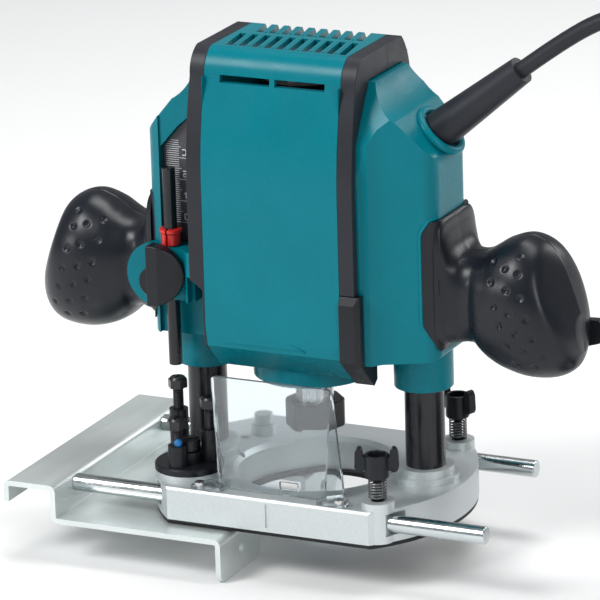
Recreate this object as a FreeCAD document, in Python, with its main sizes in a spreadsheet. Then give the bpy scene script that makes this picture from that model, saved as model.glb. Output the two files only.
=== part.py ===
import FreeCAD, Part
import math
import os
import Sketcher
from types import SimpleNamespace

V = FreeCAD.Vector
X_AXIS, Y_AXIS, Z_AXIS = V(1, 0, 0), V(0, 1, 0), V(0, 0, 1)

# Driving dimensions, in millimetres and degrees. The frame: X to the right, Y to the back, Z up,
# origin on the spindle's axis at the underside of the sole.
SIZES = {
    # base
    "sole_thickness": 2.0,
    "sole_hole_radius": 33.0,
    "base_radius": 73.3,
    "base_front": 53.8,
    "base_back": 56.0,
    "base_height": 15.2,
    "opening_radius": 36.0,
    "column_offset": 54.2,
    "column_radius": 9.0,
    "column_bore_radius": 6.2,
    "column_foot": 4.0,
    "column_length": 122.0,
    "socket_radius": 12.8,
    "socket_height": 21.6,
    "socket_step_radius": 14.9,
    "socket_step_height": 18.0,
    "wing_bolt_offset": 50.5,
    "wing_boss_radius": 7.5,
    "wing_boss_height": 18.6,
    "wing_screw_radius": 3.0,
    "guide_hole_offset": 38.3,
    "guide_hole_radius": 1.9,
    # edge guide
    "rod_radius": 4.0,
    "rod_bore_radius": 4.06,
    "rod_offset": 44.4,
    "rod_height": 10.5,
    "front_rod_length": 203.5,
    "rear_rod_length": 190.0,
    "fence_thickness": 2.5,
    "fence_length": 131.0,
    "fence_hole_radius": 2.4,
    # depth stop
    "turret_x": -49.0,
    "turret_y": -31.0,
    "turret_radius": 16.0,
    "turret_disc_height": 3.2,
    "post_circle_radius": 9.7,
    "post_radius": 4.3,
    "bolt_radius": 2.5,
    "bolt_head_radius": 4.5,
    "bolt_head_height": 5.0,
    "pole_radius": 3.0,
    "pole_length": 92.3,
    "pole_bore_radius": 3.06,
    # motor unit
    "panel_width": 66.2,
    "band_width": 7.2,
    "band_wall": 2.5,
    "cavity_width": 61.0,
    "wing_reach": 70.5,
    "wing_bottom": 79.0,
    "sleeve_radius": 13.5,
    "sleeve_bore_radius": 11.0,
    "sleeve_bottom": 61.0,
    "sleeve_length": 105.0,
    "bush_bore_radius": 9.05,
    "bush_length": 14.0,
    "stator_radius": 29.5,
    "stator_bore_radius": 18.4,
    "stack_length": 40.0,
    "armature_radius": 17.8,
    "shaft_radius": 5.0,
    "nose_radius": 8.5,
    "commutator_radius": 11.5,
    "fan_radius": 27.5,
    "collet_radius": 5.5,
    "collet_bore_radius": 3.0,
    "nut_radius": 13.6,
    "nut_height": 12.5,
    # lead
    "guard_length": 50.0,
    "guard_root_radius": 8.8,
    "guard_tip_radius": 6.3,
    "cord_radius": 3.75,
}
S = SimpleNamespace(**SIZES)

# Levels are Z values; places are (x, y) in plan or (x, z) in the front view.
SIDES = (-1, 1)
WALL = 2.8
FLOOR = -21.0
# base and depth stop
BASE_TOP = S.sole_thickness + S.base_height
SPRING_SEAT = 60.0
DEFLECTOR_SCREW = (34.5, -50.6)
SOLE_SCREWS = ((-30.0, -37.5), (34.0, -37.0), (-44.0, 35.5), (40.0, 34.0))
CAST_POST = (-41.0, 30.0)
TURRET_FLOOR = 19.9
# each post: angle about the turret's axis, top level, level of its bolt's head
POSTS = {"low": (263.0, 33.0, 46.0), "middle": (23.0, 38.0, 53.0), "high": (143.0, 45.0, 60.0)}
POLE = (-56.8, -26.0)
POLE_FOOT = 66.3
CLAMP = (-62.6, 106.5)
CLAMP_DISC = (-65.6, 107.0)
CLAMP_DISC_RADIUS = 15.0
# edge guide
FENCE_WEB = -103.2
FENCE_STEPS = (
    (-127.0, 5.0), (-127.0, 15.0), (FENCE_WEB, 15.0), (FENCE_WEB, -2.9), (-18.0, -2.9), (-18.0, FLOOR),
)
# motor unit
HOUSING_TOP = 217.0
HOUSING_FOOT = 70.0
NOSE_BOSS_FOOT = 62.0
SCREW_PLACES = ((-50.0, 178.0), (50.0, 178.0), (-37.2, 92.0), (37.2, 92.0))
SCREW_SEAT = 16.3
NECK_FOOT = 84.0
NECK_TOP = 144.0
SHAFT_LOCK = (0.0, 88.0)
LOCK_LEVER = (-58.5, 112.0)
STOP_RECESS_FLOOR = 18.4
POLE_ROOM_FLOOR = 22.7
GUARD_TOP = 112.6
SWITCH_LEVER_FRONT = 10.5
SWITCH_LEVER_THICKNESS = 5.0
SWITCH_PIVOT = (108.0, 91.0)
# each handle section: distance from the middle, centre height, half height, half depth
HANDLE_SECTIONS = (
    (70.8, 114.8, 29.0, 19.6), (76.0, 108.6, 23.4, 18.0), (83.0, 105.2, 22.0, 16.6),
    (90.0, 104.2, 24.5, 18.6), (98.5, 104.6, 29.8, 22.6), (107.5, 104.6, 32.2, 24.6),
    (116.5, 103.0, 30.6, 23.6), (124.0, 99.8, 25.6, 20.0), (129.5, 96.2, 18.0, 14.0), (132.3, 94.0, 9.0, 7.0),
)
# motor
STACK_FOOT = 118.0
LOWER_BEARING = 75.0
UPPER_BEARING = 192.0
COMMUTATOR_FOOT = 172.0
BRUSH_LEVEL = COMMUTATOR_FOOT + 7.0
NUT_FOOT = 36.0
NOSE_FOOT = NUT_FOOT + 4.0
# lead
GUARD_ROOT = V(64.9, 0, 180.0)
GUARD_WAY = V(math.cos(math.radians(38)), 0, math.sin(math.radians(38)))
CORD_START = 36.0
LEAD = (
    (119.3, 0.0, 222.5), (148.0, -1.0, 240.0), (182.0, -4.0, 243.5), (209.0, -9.0, 223.0),
    (222.0, -15.0, 188.0), (226.5, -22.0, 148.0), (229.0, -29.0, 104.0), (229.5, -31.0, 62.0),
    (229.0, -22.0, 27.0), (228.6, 3.0, 6.2), (228.5, 32.0, 5.25),
)
COIL_CENTRE = (186.0, 40.0)
COIL_RINGS = (42.5, 35.0)
COIL_LAYERS = 4
PLUG_REAR = 74.0
PLUG_BODY = 30.0
PLUG_LIFT = 3.3

doc = FreeCAD.newDocument("PlungeRouter")
sheet = doc.addObject("Spreadsheet::Sheet", "Sizes")
for row, (alias, value) in enumerate(SIZES.items(), start=1):
    sheet.set(f"A{row}", alias)
    sheet.set(f"B{row}", str(value))
    sheet.setAlias(f"B{row}", alias)
doc.recompute()

nodes = {}


# ---------------------------------------------------------------- helpers
def keep(name, obj):
    """Make obj the sub-part called name."""
    obj.Label = name
    nodes[name] = obj
    return obj


def bind(obj, prop, size):
    """Set a property to a number, or bind it to a formula of the sheet's aliases."""
    if isinstance(size, str):
        obj.setExpression(prop, size)
    else:
        setattr(obj, prop, size)


def turned(axis):
    """The rotation that carries +Z onto axis."""
    return FreeCAD.Rotation(Z_AXIS, axis)


def cylinder(radius, length, base, axis=Z_AXIS):
    obj = doc.addObject("Part::Cylinder", "Cylinder")
    bind(obj, "Radius", radius)
    bind(obj, "Height", length)
    obj.Placement = FreeCAD.Placement(V(*base), turned(axis))
    return obj


def cone(radius_1, radius_2, length, base, axis=Z_AXIS):
    obj = doc.addObject("Part::Cone", "Cone")
    bind(obj, "Radius1", radius_1)
    bind(obj, "Radius2", radius_2)
    bind(obj, "Height", length)
    obj.Placement = FreeCAD.Placement(V(*base), turned(axis))
    return obj


def box(low, high):
    obj = doc.addObject("Part::Box", "Box")
    obj.Length, obj.Width, obj.Height = (b - a for a, b in zip(low, high))
    obj.Placement.Base = V(*low)
    return obj


def prism(sides, radius, height, base, axis=Z_AXIS, spin=0.0):
    obj = doc.addObject("Part::Prism", "Prism")
    obj.Polygon = sides
    bind(obj, "Circumradius", radius)
    bind(obj, "Height", height)
    obj.Placement = FreeCAD.Placement(V(*base), turned(axis) * FreeCAD.Rotation(Z_AXIS, spin))
    return obj


def cut(base, *tools):
    for tool in tools:
        result = doc.addObject("Part::Cut", "Cut")
        result.Base, result.Tool = base, tool
        base = result
    return base


def fuse(*shapes):
    result = doc.addObject("Part::MultiFuse", "Fuse")
    result.Shapes = list(shapes)
    result.Refine = True
    return result


def common(base, tool):
    result = doc.addObject("Part::Common", "Common")
    result.Base, result.Tool = base, tool
    return result


def group(*shapes):
    """Several separate solids in one sub-part."""
    result = doc.addObject("Part::Compound", "Group")
    result.Links = list(shapes)
    return result


def ring(outer, inner, length, base, axis=Z_AXIS):
    """A tube: the bore runs right through."""
    base = V(*base)
    start = base - axis
    bore = cylinder(inner, 1.0, start, axis)
    if isinstance(length, str):
        bore.setExpression("Height", f"{length} + 2")
    else:
        bore.Height = length + 2
    return cut(cylinder(outer, length, base, axis), bore)


def new_body(name):
    body = doc.addObject("PartDesign::Body", name)
    return keep(name, body)


def sketch(body, role, offset=0.0):
    """A sketch on one of the body's own origin planes, offset along the plane's normal.

    XY_Plane draws x=X, y=Y; XZ_Plane draws x=X, y=Z and faces -Y; YZ_Plane draws x=Y, y=Z.
    """
    plane = next(o for o in body.Origin.OriginFeatures if o.Role == role)
    result = body.newObject("Sketcher::SketchObject", "Sketch")
    result.AttachmentSupport = (plane, [""])
    result.MapMode = "FlatFace"
    result.AttachmentOffset = FreeCAD.Placement(V(0, 0, offset), FreeCAD.Rotation())
    return result


def outline(target, points):
    """A closed outline. A point marked as a middle, (x, y, "arc"), is passed by an arc."""
    count = len(points)
    index = 0
    while index < count:
        start, after = points[index], points[(index + 1) % count]
        if len(after) == 3:
            end = points[(index + 2) % count]
            arc = Part.Arc(V(*start[:2]), V(*after[:2]), V(*end[:2]))
            target.addGeometry(arc)
            index += 2
        else:
            target.addGeometry(Part.LineSegment(V(*start[:2]), V(*after[:2])))
            index += 1


def rectangle(target, low, high):
    (x1, y1), (x2, y2) = low, high
    outline(target, [(x1, y1), (x2, y1), (x2, y2), (x1, y2)])


def circle(target, x, y, radius):
    """A circle whose radius is a number or a formula of the sheet's aliases."""
    start = 1.0 if isinstance(radius, str) else radius
    index = target.addGeometry(Part.Circle(V(x, y, 0), Z_AXIS, start))
    if isinstance(radius, str):
        rule = target.addConstraint(Sketcher.Constraint("Radius", index, start))
        target.setExpression(f"Constraints[{rule}]", radius)


def pad(body, profile, length, reverse=False, symmetric=False):
    feature = body.newObject("PartDesign::Pad", "Pad")
    feature.Profile = profile
    feature.SideType = "Symmetric" if symmetric else "One side"
    bind(feature, "Length", length)
    feature.Reversed = reverse
    return feature


def pocket(body, profile, length, reverse=False, symmetric=False):
    """Cuts against the sketch's normal, or along it when reversed."""
    feature = body.newObject("PartDesign::Pocket", "Pocket")
    feature.Profile = profile
    feature.SideType = "Symmetric" if symmetric else "One side"
    bind(feature, "Length", length)
    feature.Reversed = reverse
    return feature


def revolve(body, profile, axis="V_Axis"):
    feature = body.newObject("PartDesign::Revolution", "Revolution")
    feature.Profile = profile
    feature.ReferenceAxis = (profile, [axis])
    feature.Angle = 360
    return feature


def dress(body, kind, size, wanted):
    """Fillet or chamfer the edges of the body's last feature that wanted(edge) picks."""
    doc.recompute()
    tip = body.Tip
    names = [f"Edge{i}" for i, edge in enumerate(tip.Shape.Edges, start=1) if wanted(edge)]
    feature = body.newObject(f"PartDesign::{kind}", kind)
    feature.Base = (tip, names)
    if kind == "Fillet":
        feature.Radius = size
    else:
        feature.Size = size
    return feature


def flat_at(edge, level, axis="z", tolerance=0.01):
    """True for an edge that lies wholly at one level."""
    box_ = edge.BoundBox
    low, high = {"x": (box_.XMin, box_.XMax), "y": (box_.YMin, box_.YMax), "z": (box_.ZMin, box_.ZMax)}[axis]
    return abs(low - level) < tolerance and abs(high - level) < tolerance


def polar(centre, radius, degrees):
    angle = math.radians(degrees)
    return centre[0] + radius * math.cos(angle), centre[1] + radius * math.sin(angle)


# ---------------------------------------------------------------- base
def base_outline(target, radius, front, back):
    """A disc with a flat front and a flat back."""
    half_front = math.sqrt(radius**2 - front**2)
    half_back = math.sqrt(radius**2 - back**2)
    outline(target, [
        (half_front, -front), (radius, 0, "arc"), (half_back, back),
        (-half_back, back), (-radius, 0, "arc"), (-half_front, -front),
    ])


def make_base_casting():
    body = new_body("base_casting")
    plan = sketch(body, "XY_Plane", S.sole_thickness)
    base_outline(plan, S.base_radius, S.base_front, S.base_back)
    circle(plan, 0, 0, "Sizes.opening_radius")
    pad(body, plan, "Sizes.base_height")
    dress(body, "Chamfer", 1.0, lambda e: flat_at(e, BASE_TOP) and e.BoundBox.XLength > 75)
    dress(body, "Chamfer", 2.0, lambda e: flat_at(e, BASE_TOP) and abs(e.BoundBox.XLength - 72) < 1)

    # raised bosses: column sockets with a step, wing bolts, turret, and a cast post with a collar
    for radius, height in (("Sizes.socket_step_radius", "Sizes.socket_step_height"),
                           ("Sizes.socket_radius", "Sizes.socket_height")):
        bosses = sketch(body, "XY_Plane", S.sole_thickness)
        for side in SIDES:
            circle(bosses, side * S.column_offset, 0, radius)
        pad(body, bosses, height)
    bolt_bosses = sketch(body, "XY_Plane", S.sole_thickness)
    for side in SIDES:
        circle(bolt_bosses, S.wing_bolt_offset, side * S.rod_offset, "Sizes.wing_boss_radius")
    pad(body, bolt_bosses, "Sizes.wing_boss_height")
    turret_pad = sketch(body, "XY_Plane", S.sole_thickness)
    circle(turret_pad, S.turret_x, S.turret_y, "Sizes.turret_radius - 0.4")
    pad(body, turret_pad, 17.7)
    post = sketch(body, "XY_Plane", S.sole_thickness)
    circle(post, *CAST_POST, 4.2)
    pad(body, post, 25.0)
    collar = sketch(body, "XY_Plane", S.sole_thickness)
    circle(collar, *CAST_POST, 5.6)
    pad(body, collar, 20.0)

    # bores: columns, guide rods with their square exits, clamp screws, template guide screws
    columns = sketch(body, "XY_Plane", S.column_foot)
    for side in SIDES:
        circle(columns, side * S.column_offset, 0, "Sizes.column_radius")
    pocket(body, columns, 30.0, reverse=True)
    rods = sketch(body, "YZ_Plane")
    for side in SIDES:
        circle(rods, side * S.rod_offset, S.rod_height, "Sizes.rod_bore_radius")
    pocket(body, rods, 160.0, symmetric=True)
    for start, reverse in ((56.0, True), (-56.0, False)):
        exits = sketch(body, "YZ_Plane", start)
        for side in SIDES:
            middle = side * S.rod_offset
            rectangle(exits, (middle - 4.8, S.rod_height - 5.2), (middle + 4.8, S.rod_height + 5.2))
        pocket(body, exits, 20.0, reverse=reverse)
    screws = sketch(body, "XY_Plane", S.rod_height)
    for side in SIDES:
        circle(screws, S.wing_bolt_offset, side * S.rod_offset, "Sizes.wing_screw_radius + 0.06")
    pocket(body, screws, 12.0, reverse=True)
    guide_holes = sketch(body, "XY_Plane")
    for side in SIDES:
        circle(guide_holes, side * S.guide_hole_offset, 0, "Sizes.guide_hole_radius")
    circle(guide_holes, -46.7, 21.6, 2.2)
    pocket(body, guide_holes, 30.0, reverse=True)
    small_holes = sketch(body, "XY_Plane", 8.0)
    for side in SIDES:
        circle(small_holes, side * DEFLECTOR_SCREW[0], DEFLECTOR_SCREW[1], 1.5)
    circle(small_holes, S.turret_x, S.turret_y, 2.5)
    pocket(body, small_holes, 30.0, reverse=True)
    sole_holes = sketch(body, "XY_Plane", S.sole_thickness)
    for x, y in SOLE_SCREWS:
        circle(sole_holes, x, y, 1.6)
    pocket(body, sole_holes, 8.0, reverse=True)

    # centre mark on the front flat
    mark = sketch(body, "XZ_Plane", S.base_front - 0.6)
    rectangle(mark, (-0.8, 4.0), (0.8, 15.0))
    pocket(body, mark, 5.0, reverse=True)


def make_sole_plate():
    body = new_body("sole_plate")
    plan = sketch(body, "XY_Plane")
    base_outline(plan, S.base_radius - 0.3, S.base_front - 0.2, S.base_back - 0.2)
    circle(plan, 0, 0, "Sizes.sole_hole_radius")
    pad(body, plan, "Sizes.sole_thickness")
    dress(body, "Chamfer", 0.8, lambda e: flat_at(e, 0.0) and e.BoundBox.XLength > 75)
    holes = sketch(body, "XY_Plane")
    for side in SIDES:
        circle(holes, side * S.guide_hole_offset, 0, 2.6)
    for x, y in SOLE_SCREWS:
        circle(holes, x, y, 3.2)
    pocket(body, holes, 5.0, reverse=True)


def make_sole_screws():
    screws = []
    for x, y in SOLE_SCREWS:
        head = cylinder(3.1, 1.4, (x, y, 0.6))
        shank = cylinder(1.55, 7.0, (x, y, 1.0))
        screws.append(cut(fuse(head, shank), box((x - 2.0, y - 0.4, 0), (x + 2.0, y + 0.4, 1.1))))
    keep("sole_screws", group(*screws))


def make_columns():
    for name, side in (("column_left", -1), ("column_right", 1)):
        x = side * S.column_offset
        bar = cylinder("Sizes.column_radius", "Sizes.column_length", (x, 0, S.column_foot))
        bore = cylinder("Sizes.column_bore_radius", 80.0, (x, 0, SPRING_SEAT))
        keep(name, cut(bar, bore))


def make_return_springs():
    """Plunge springs, drawn as plain sleeves of the coil's outer and inner size."""
    springs = []
    for side in SIDES:
        springs.append(ring(5.4, 4.0, 102.4, (side * S.column_offset, 0, SPRING_SEAT + 0.3)))
    keep("return_springs", group(*springs))


def make_wing_bolts():
    lobe_turn = {"wing_bolt_front": 20.0, "wing_bolt_rear": -20.0}
    for name, side in (("wing_bolt_front", -1), ("wing_bolt_rear", 1)):
        x, y = S.wing_bolt_offset, side * S.rod_offset
        body = new_body(name)
        turn = sketch(body, "XZ_Plane")
        outline(turn, [
            (0, 14.9), (S.wing_screw_radius, 14.9), (S.wing_screw_radius, 31.0), (5.2, 31.0),
            (6.4, 33.0), (5.6, 39.0), (4.6, 42.5), (0, 43.5),
        ])
        revolve(body, turn)
        lobes = sketch(body, "XZ_Plane")
        for way in SIDES:
            outline(lobes, [
                (way * 3.5, 33.0), (way * 8.2, 35.0), (way * 10.4, 39.0, "arc"), (way * 8.8, 44.6),
                (way * 6.8, 45.6, "arc"), (way * 5.0, 43.5), (way * 3.5, 41.0),
            ])
        pad(body, lobes, 4.4, symmetric=True)
        body.Placement = FreeCAD.Placement(V(x, y, 0), FreeCAD.Rotation(Z_AXIS, lobe_turn[name]))


def make_wing_bolt_springs():
    """Springs that keep the loose wing bolts from rattling, drawn as plain sleeves."""
    springs = []
    for side in SIDES:
        springs.append(ring(4.5, 3.3, 9.6, (S.wing_bolt_offset, side * S.rod_offset, 21.0)))
    keep("wing_bolt_springs", group(*springs))


# ---------------------------------------------------------------- chip deflector
def deflector_plan(target, half_pane, half_width, depth, front, thickness):
    """Plan of the shield's wall: a flat pane between two wings that lean outwards and back."""
    back = front + depth
    outer = [(half_width, back), (half_pane, front), (-half_pane, front), (-half_width, back)]
    lean = thickness * 0.8
    inner = [
        (-half_width + lean, back + 0.6), (-half_pane + 0.3, front + thickness),
        (half_pane - 0.3, front + thickness), (half_width - lean, back + 0.6),
    ]
    outline(target, outer + inner)


def make_chip_deflector():
    """Clear shield in front of the cutter: a pane with slim side wings, on two flat feet."""
    front, thickness, top = -46.1, 1.9, 69.6
    body = new_body("chip_deflector")
    foot = sketch(body, "XY_Plane", BASE_TOP + 0.3)
    deflector_plan(foot, 25.0, 31.5, 8.3, front, thickness)
    head = sketch(body, "XY_Plane", top)
    deflector_plan(head, 29.0, 30.0, 1.2, front, thickness)
    loft = body.newObject("PartDesign::AdditiveLoft", "Loft")
    loft.Profile = foot
    loft.Sections = [head]
    loft.Ruled = True
    body.Tip = loft
    corners = sketch(body, "XZ_Plane", -front + 5)
    for way in SIDES:
        outline(corners, [(way * 26.5, top + 1), (way * 26.5, top), (way * 29.2, top - 0.9, "arc"),
                          (way * 30.2, top - 3.5), (way * 32.0, top - 3.5), (way * 32.0, top + 1)])
    pocket(body, corners, 20.0)
    feet = sketch(body, "XY_Plane", BASE_TOP + 0.3)
    for side in SIDES:
        outline(feet, [
            (side * 24.0, front + 1.0), (side * 24.0, -52.4), (side * 38.2, -52.4), (side * 38.2, -48.4),
            (side * 31.4, front + 6.0), (side * 26.0, front + 1.0),
        ])
    pad(body, feet, 1.8)
    window = sketch(body, "XZ_Plane", -front + 5)
    rectangle(window, (3.0, 19.8), (12.0, 23.6))
    pocket(body, window, 15.0)
    holes = sketch(body, "XY_Plane", 17.0)
    for side in SIDES:
        circle(holes, side * DEFLECTOR_SCREW[0], DEFLECTOR_SCREW[1], 1.5)
    pocket(body, holes, 5.0, reverse=True)


def make_deflector_screws():
    screws = []
    for side in SIDES:
        x, y = side * DEFLECTOR_SCREW[0], DEFLECTOR_SCREW[1]
        head = cylinder(2.3, 1.4, (x, y, 19.35))
        shank = cylinder(1.45, 12.0, (x, y, 8.2))
        slot = box((x - 2.5, y - 0.35, 20.1), (x + 2.5, y + 0.35, 21.0))
        screws.append(cut(fuse(head, shank), slot))
    keep("deflector_screws", group(*screws))


# ---------------------------------------------------------------- depth stop
def post_place(name):
    angle, _, _ = POSTS[name]
    return polar((S.turret_x, S.turret_y), S.post_circle_radius, angle)


def make_stopper_block():
    body = new_body("stopper_block")
    disc = sketch(body, "XY_Plane", TURRET_FLOOR)
    circle(disc, S.turret_x, S.turret_y, "Sizes.turret_radius")
    pad(body, disc, "Sizes.turret_disc_height")
    dress(body, "Chamfer", 0.7, lambda e: flat_at(e, TURRET_FLOOR + S.turret_disc_height))
    hub = sketch(body, "XY_Plane", TURRET_FLOOR)
    circle(hub, S.turret_x, S.turret_y, 6.6)
    pad(body, hub, 8.0)
    for name, (angle, post_top, _) in POSTS.items():
        post = sketch(body, "XY_Plane", TURRET_FLOOR)
        x, y = post_place(name)
        circle(post, x, y, "Sizes.post_radius")
        pad(body, post, post_top - TURRET_FLOOR)
        thread = sketch(body, "XY_Plane", TURRET_FLOOR + 2.0)
        circle(thread, x, y, "Sizes.bolt_radius + 0.06")
        pocket(body, thread, 40.0, reverse=True)
    pivot = sketch(body, "XY_Plane")
    circle(pivot, S.turret_x, S.turret_y, 2.56)
    pocket(body, pivot, 60.0, reverse=True)


def make_turret_pivot():
    """Slotted screw that the stopper block turns on."""
    x, y = S.turret_x, S.turret_y
    head = cylinder(5.0, 4.8, (x, y, TURRET_FLOOR + 8.3))
    shank = cylinder(2.5, 20.4, (x, y, 8.2))
    slot = box((-6.5, -0.7, TURRET_FLOOR + 11.6), (6.5, 0.7, TURRET_FLOOR + 15))
    slot.Placement = FreeCAD.Placement(
        V(x, y, 0), FreeCAD.Rotation(Z_AXIS, 42)
    ).multiply(slot.Placement)
    keep("turret_pivot", cut(fuse(head, shank), slot))


def make_stopper_bolts():
    for name, (_, post_top, head_top) in POSTS.items():
        x, y = post_place(name)
        under_head = head_top - S.bolt_head_height
        shank_foot = TURRET_FLOOR + 6.5
        shank = cylinder("Sizes.bolt_radius", under_head - shank_foot + 0.5, (x, y, shank_foot))
        head = prism(6, "Sizes.bolt_head_radius", "Sizes.bolt_head_height - 1", (x, y, under_head), spin=12)
        crown = cone(4.0, 3.2, 1.0, (x, y, head_top - 1.0))
        cross_1 = box((x - 2.6, y - 0.45, head_top - 2.0), (x + 2.6, y + 0.45, head_top + 1))
        cross_2 = box((x - 0.45, y - 2.6, head_top - 2.0), (x + 0.45, y + 2.6, head_top + 1))
        keep(f"stopper_bolt_{name}", cut(fuse(shank, head, crown), cross_1, cross_2))


def make_pole_and_pointer():
    pole = cylinder("Sizes.pole_radius", "Sizes.pole_length", (*POLE, POLE_FOOT))
    keep("stopper_pole", pole)

    body = new_body("depth_pointer")
    turn = sketch(body, "XZ_Plane")
    outline(turn, [
        (3.06, 122.9), (4.5, 122.9), (4.5, 128.2), (5.2, 128.8), (5.2, 130.2), (3.06, 130.6),
    ])
    revolve(body, turn)
    split = sketch(body, "XY_Plane", 120.0)
    outline(split, [(-0.45, -7.0), (0.45, -7.0), (0.45, -2.0), (-0.45, -2.0)])
    pocket(body, split, 15.0, reverse=True)
    body.Placement.Base = V(*POLE, 0)


def make_clamp_knob():
    """Thumb knob whose screw pinches the stopper pole: hub, screw and a D-shaped paddle."""
    x, z = CLAMP
    body = new_body("clamp_knob")
    hub = sketch(body, "XZ_Plane", 31.4)
    circle(hub, x, z, 7.0)
    pad(body, hub, 3.2)
    screw = sketch(body, "XZ_Plane", 20.5)
    circle(screw, x, z, 2.44)
    pad(body, screw, 11.5)
    paddle = sketch(body, "XZ_Plane", 33.1)
    middle = z + 4.5
    outline(paddle, [(x - 0.4, middle - 14), (x + 2.6, middle - 14), (x + 15.6, middle, "arc"),
                     (x + 2.6, middle + 14), (x - 0.4, middle + 14)])
    pad(body, paddle, 7.1)
    slope = sketch(body, "XY_Plane", 90.0)
    outline(slope, [(x + 5.4, -45.0), (x + 5.4, -40.2), (x + 15.8, -34.0), (x + 18.0, -34.0),
                    (x + 18.0, -45.0)])
    pocket(body, slope, 45.0, reverse=True)


# ---------------------------------------------------------------- edge guide
def make_guide_rods():
    rods = []
    for side, length in ((-1, "Sizes.front_rod_length"), (1, "Sizes.rear_rod_length")):
        base = (FENCE_WEB + 2.5, side * S.rod_offset, S.rod_height)
        stub = (FENCE_WEB - 1.2, side * S.rod_offset, S.rod_height)
        rods.append(fuse(
            cylinder("Sizes.rod_radius", length, base, X_AXIS),
            cylinder("Sizes.rod_radius - 1.2", 4.4, stub, X_AXIS),
        ))
    keep("guide_rods", group(*rods))


def make_fence():
    """Bent steel guide: outer lip, top plate, web, bottom plate and two guide lips."""
    t = S.fence_thickness
    (x0, z0), (_, z1), (x2, _), (_, z3), (x4, _), (_, z5) = FENCE_STEPS
    r, inner = 3.2, 3.2 - t
    body = new_body("fence_plate")
    section = sketch(body, "XZ_Plane")
    bend = math.sqrt(0.5)
    outline(section, [
        (x0, z0), (x0, z1 - r), (x0 + r - r * bend, z1 - r + r * bend, "arc"), (x0 + r, z1),
        (x2 + t - r, z1), (x2 + t - r + r * bend, z1 - r + r * bend, "arc"), (x2 + t, z1 - r),
        (x2 + t, z3 + t + inner), (x2 + t + inner - inner * bend, z3 + t + inner - inner * bend, "arc"),
        (x2 + t + inner, z3 + t),
        (x4 - r, z3 + t), (x4 - r + r * bend, z3 + t - r + r * bend, "arc"), (x4, z3 + t - r),
        (x4, z5), (x4 - t, z5), (x4 - t, z3 - inner),
        (x4 - t - inner + inner * bend, z3 - inner + inner * bend, "arc"), (x4 - t - inner, z3),
        (x2 + r, z3), (x2 + r - r * bend, z3 + r - r * bend, "arc"), (x2, z3 + r),
        (x2, z1 - t - inner), (x2 - inner + inner * bend, z1 - t - inner + inner * bend, "arc"),
        (x2 - inner, z1 - t),
        (x0 + t + inner, z1 - t), (x0 + t + inner - inner * bend, z1 - t - inner + inner * bend, "arc"),
        (x0 + t, z1 - t - inner), (x0 + t, z0),
    ])
    pad(body, section, "Sizes.fence_length", symmetric=True)
    gap = sketch(body, "YZ_Plane", x4 - 40.0)
    rectangle(gap, (-25.0, z5 - 1), (25.0, z3 - 0.01))
    pocket(body, gap, 45.0, reverse=True)
    notch = sketch(body, "XY_Plane", z5 - 1.0)
    rectangle(notch, (-46.0, -25.0), (x4 + 1.0, 25.0))
    pocket(body, notch, 30.0, reverse=True)
    holes = sketch(body, "YZ_Plane", x4 - 10.0)
    for side in SIDES:
        circle(holes, side * S.rod_offset, -11.4, "Sizes.fence_hole_radius")
    pocket(body, holes, 15.0, reverse=True)
    rivets = sketch(body, "YZ_Plane", x2 - 5.0)
    for side in SIDES:
        circle(rivets, side * S.rod_offset, S.rod_height, "Sizes.rod_radius - 1.2")
    pocket(body, rivets, 12.0, reverse=True)
    dress(body, "Fillet", 4.0, is_lip_corner)


def is_lip_corner(edge):
    """The free lower corners of the two guide lips."""
    box_ = edge.BoundBox
    across = box_.YLength < 0.01 and box_.ZLength < 0.01 and abs(box_.XLength - S.fence_thickness) < 0.1
    return across and abs(box_.ZMin - FLOOR) < 0.01


# ---------------------------------------------------------------- motor housing
def side_profile(way, inset=0.0):
    """Half of the housing's side view, as (y, z) points; way is -1 at the front, 1 at the back."""
    top = HOUSING_TOP - inset
    foot = HOUSING_FOOT + inset
    if way < 0:
        face = [
            (28.5, foot), (40.3, 82.0), (41.8, 91.0), (41.2, 150.0), (39.3, 180.0, "arc"), (34.0, 204.5),
            (31.2, 213.0 - inset, "arc"), (25.5, top),
        ]
    else:
        face = [
            (37.5, foot), (41.0, 90.0), (39.0, 150.0), (33.4, 180.0, "arc"), (23.6, 200.0),
            (20.2, 210.5 - inset, "arc"), (15.5, top),
        ]
    points = [(0.0, foot), *((p[0] - inset, *p[1:]) for p in face), (0.0, top)]
    return [(way * p[0], *p[1:]) for p in points]


def wing_profile(side, inset=0.0):
    """One side housing's front view, as (x, z) points; side is -1 at the left, 1 at the right."""
    reach = S.wing_reach - inset
    foot = S.wing_bottom + inset
    points = [
        (33.0 + inset, foot), (reach - 3.0, foot), (reach - 0.9, foot + 0.9, "arc"), (reach, foot + 3.0),
        (reach, 168.0), (reach - 0.7, 172.0, "arc"), (reach - 2.7, 175.0 - inset),
        (55.5 - inset, 189.6 - inset), (47.6 - inset, 196.5, "arc"), (43.4 - inset, 205.0 - inset),
        (33.0 + inset, 205.0 - inset),
    ]
    return [(side * p[0], *p[1:]) for p in points]


def wing_plan_waste(side, way):
    """What is cut off a wing's blank in plan: all that lies outside its front or back face."""
    if way < 0:
        face = [(41.0, 36.4), (45.0, 35.0), (48.5, 31.0), (65.5, 22.3), (69.3, 18.6, "arc"), (70.5, 13.0)]
    else:
        face = [(41.0, 36.4), (43.5, 33.0), (46.5, 20.8), (59.0, 19.8), (67.6, 16.4, "arc"), (70.5, 8.5)]
    points = [(41.0, 60.0), *face, (90.0, face[-1][1]), (90.0, 60.0)]
    return [(side * p[0], way * p[1], *p[2:]) for p in points]


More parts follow.
